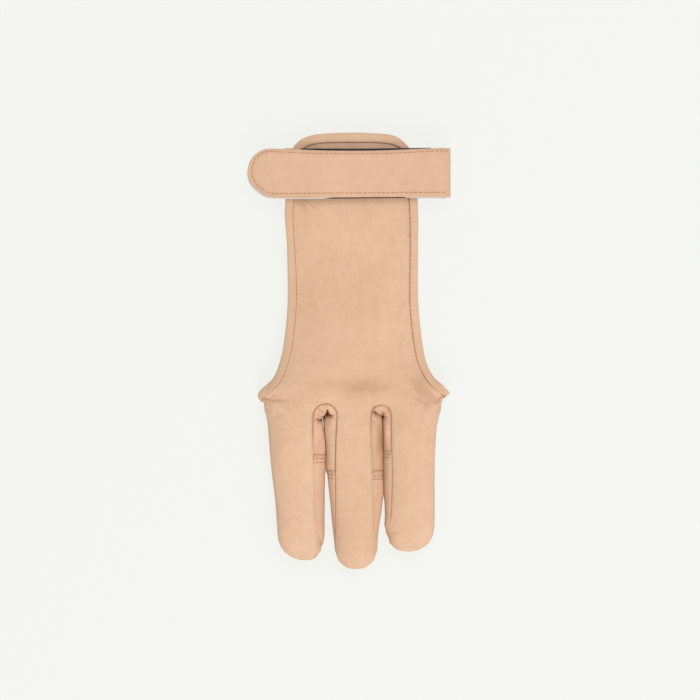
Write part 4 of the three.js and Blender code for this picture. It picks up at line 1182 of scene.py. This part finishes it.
def strap_edge(x, side):
    """Where a row of stitches runs along the strap: the upper one dips with the strap's edge."""
    if side > 0:
        middle = strap_middle_mm + strap_half_mm - strap_inset_mm
        return middle - strap_waist_mm * max(0, 1 - (x / strap_dip_reach_mm) ** 2)
    middle = strap_middle_mm - strap_half_mm + low_inset_mm
    return middle + strap_rise_mm * (x - round_middle_mm) / (strap_right_mm - round_middle_mm)


row_steps = 40
upper_row = []
lower_row = []
for index in range(row_steps + 1):
    x = strap_right_mm + (round_middle_mm - strap_right_mm) * index / row_steps
    upper_row.append((x, strap_edge(x, 1), 0))
    lower_row.append((x, strap_edge(x, -1), 0))
round_start = 95
round_run = 85
round_row = []
for degrees in range(round_start, 270, 5):
    angle = math.radians(degrees)
    turned = between_zero_and_one((degrees - round_start) / round_run)
    reach = strap_half_mm - strap_inset_mm - (low_inset_mm - strap_inset_mm) * turned
    blend = max(0, math.sin(angle))
    dip = (strap_middle_mm + reach - strap_edge(round_middle_mm, 1)) * blend
    x = round_middle_mm + reach * math.cos(angle)
    place = Vector((x, strap_middle_mm + reach * math.sin(angle) - dip, 0))
    round_row.append(place + (pulled_aside(place * MM) + pulled_aside(place * MM, end_pulls)) / MM)
strap_path = upper_row + round_row + lower_row[::-1]
press_row(strap, strap_path, 0.75 * MM, 0.28 * MM)
strap_surface = surface_of(strap)
sew("strap_stitches", strap_surface, strap_path, 2.3 * MM, 1.6 * MM, thread_radius, thread)

# Two rows hold the top edge of each stall to the fourchette beside it: places in millimetres.
stall_rows = rows_of(
    "stall left right levels count",
    ("ring", -18.2, -11.7, (-53.9, -55.8), 4),
    ("middle", -10.8, -7.4, (-61.8, -63.5), 2),
    ("middle", 12.0, 17.2, (-62.5, -64.1), 3),
    ("index", 17.7, 21.0, (-51.7, -53.3), 2),
)
stall_row_worn = 0.4
for index, row in enumerate(stall_rows):
    stall = stalls[row["stall"]]
    pitch = (row["right"] - row["left"]) / row["count"] * MM
    for number, level in enumerate(row["levels"]):
        path = [(row["left"], level, 0), (row["right"] + 0.01, level, 0)]
        press_row(stall, path, 0.5 * MM, 0.2 * MM, stall_row_worn)
        name = f"{row['stall']}_stitches_{index}_{number}"
        sew(name, surface_of(stall), path, pitch, pitch * 0.72, 0.21 * MM, thread, slant=0.5 * MM)

# The binding's seam: one row beside its inner edge, all along the tail and round its end.
edge_surfaces = surface_of(back, binding)


def ditch(start, way):
    """Where the back's leather meets the binding, going out from a start: a place in millimetres."""
    place = Vector((*start, 0))
    step = Vector((*way, 0)).normalized() * 0.15
    for _ in range(700):
        hits = [drop([surface], place.x * MM, place.y * MM) for surface in edge_surfaces]
        if hits[1] is not None and (hits[0] is None or hits[1][0].z > hits[0][0].z):
            return place - step * 2
        place = place + step
    return None


side_steps = 47
left_start_mm = -22
left_run_mm = 110
right_start_mm = -20
right_run_mm = 108
left_side = [
    ditch((0, left_start_mm + left_run_mm * index / side_steps), (-1, 0))
    for index in range(side_steps + 1)
]
right_side = [
    ditch((2, right_start_mm + right_run_mm * index / side_steps), (1, 0))
    for index in range(side_steps + 1)
]
tail_end = [
    ditch((1.6, 86), (math.cos(math.radians(degrees)), math.sin(math.radians(degrees))))
    for degrees in range(174, 3, -6)
]
binding_path = [place for place in left_side + tail_end + right_side[::-1] if place is not None]
back_surface = surface_of(back)
sew("binding_stitches", back_surface, binding_path, 2.3 * MM, 1.75 * MM, 0.12 * MM, thread)
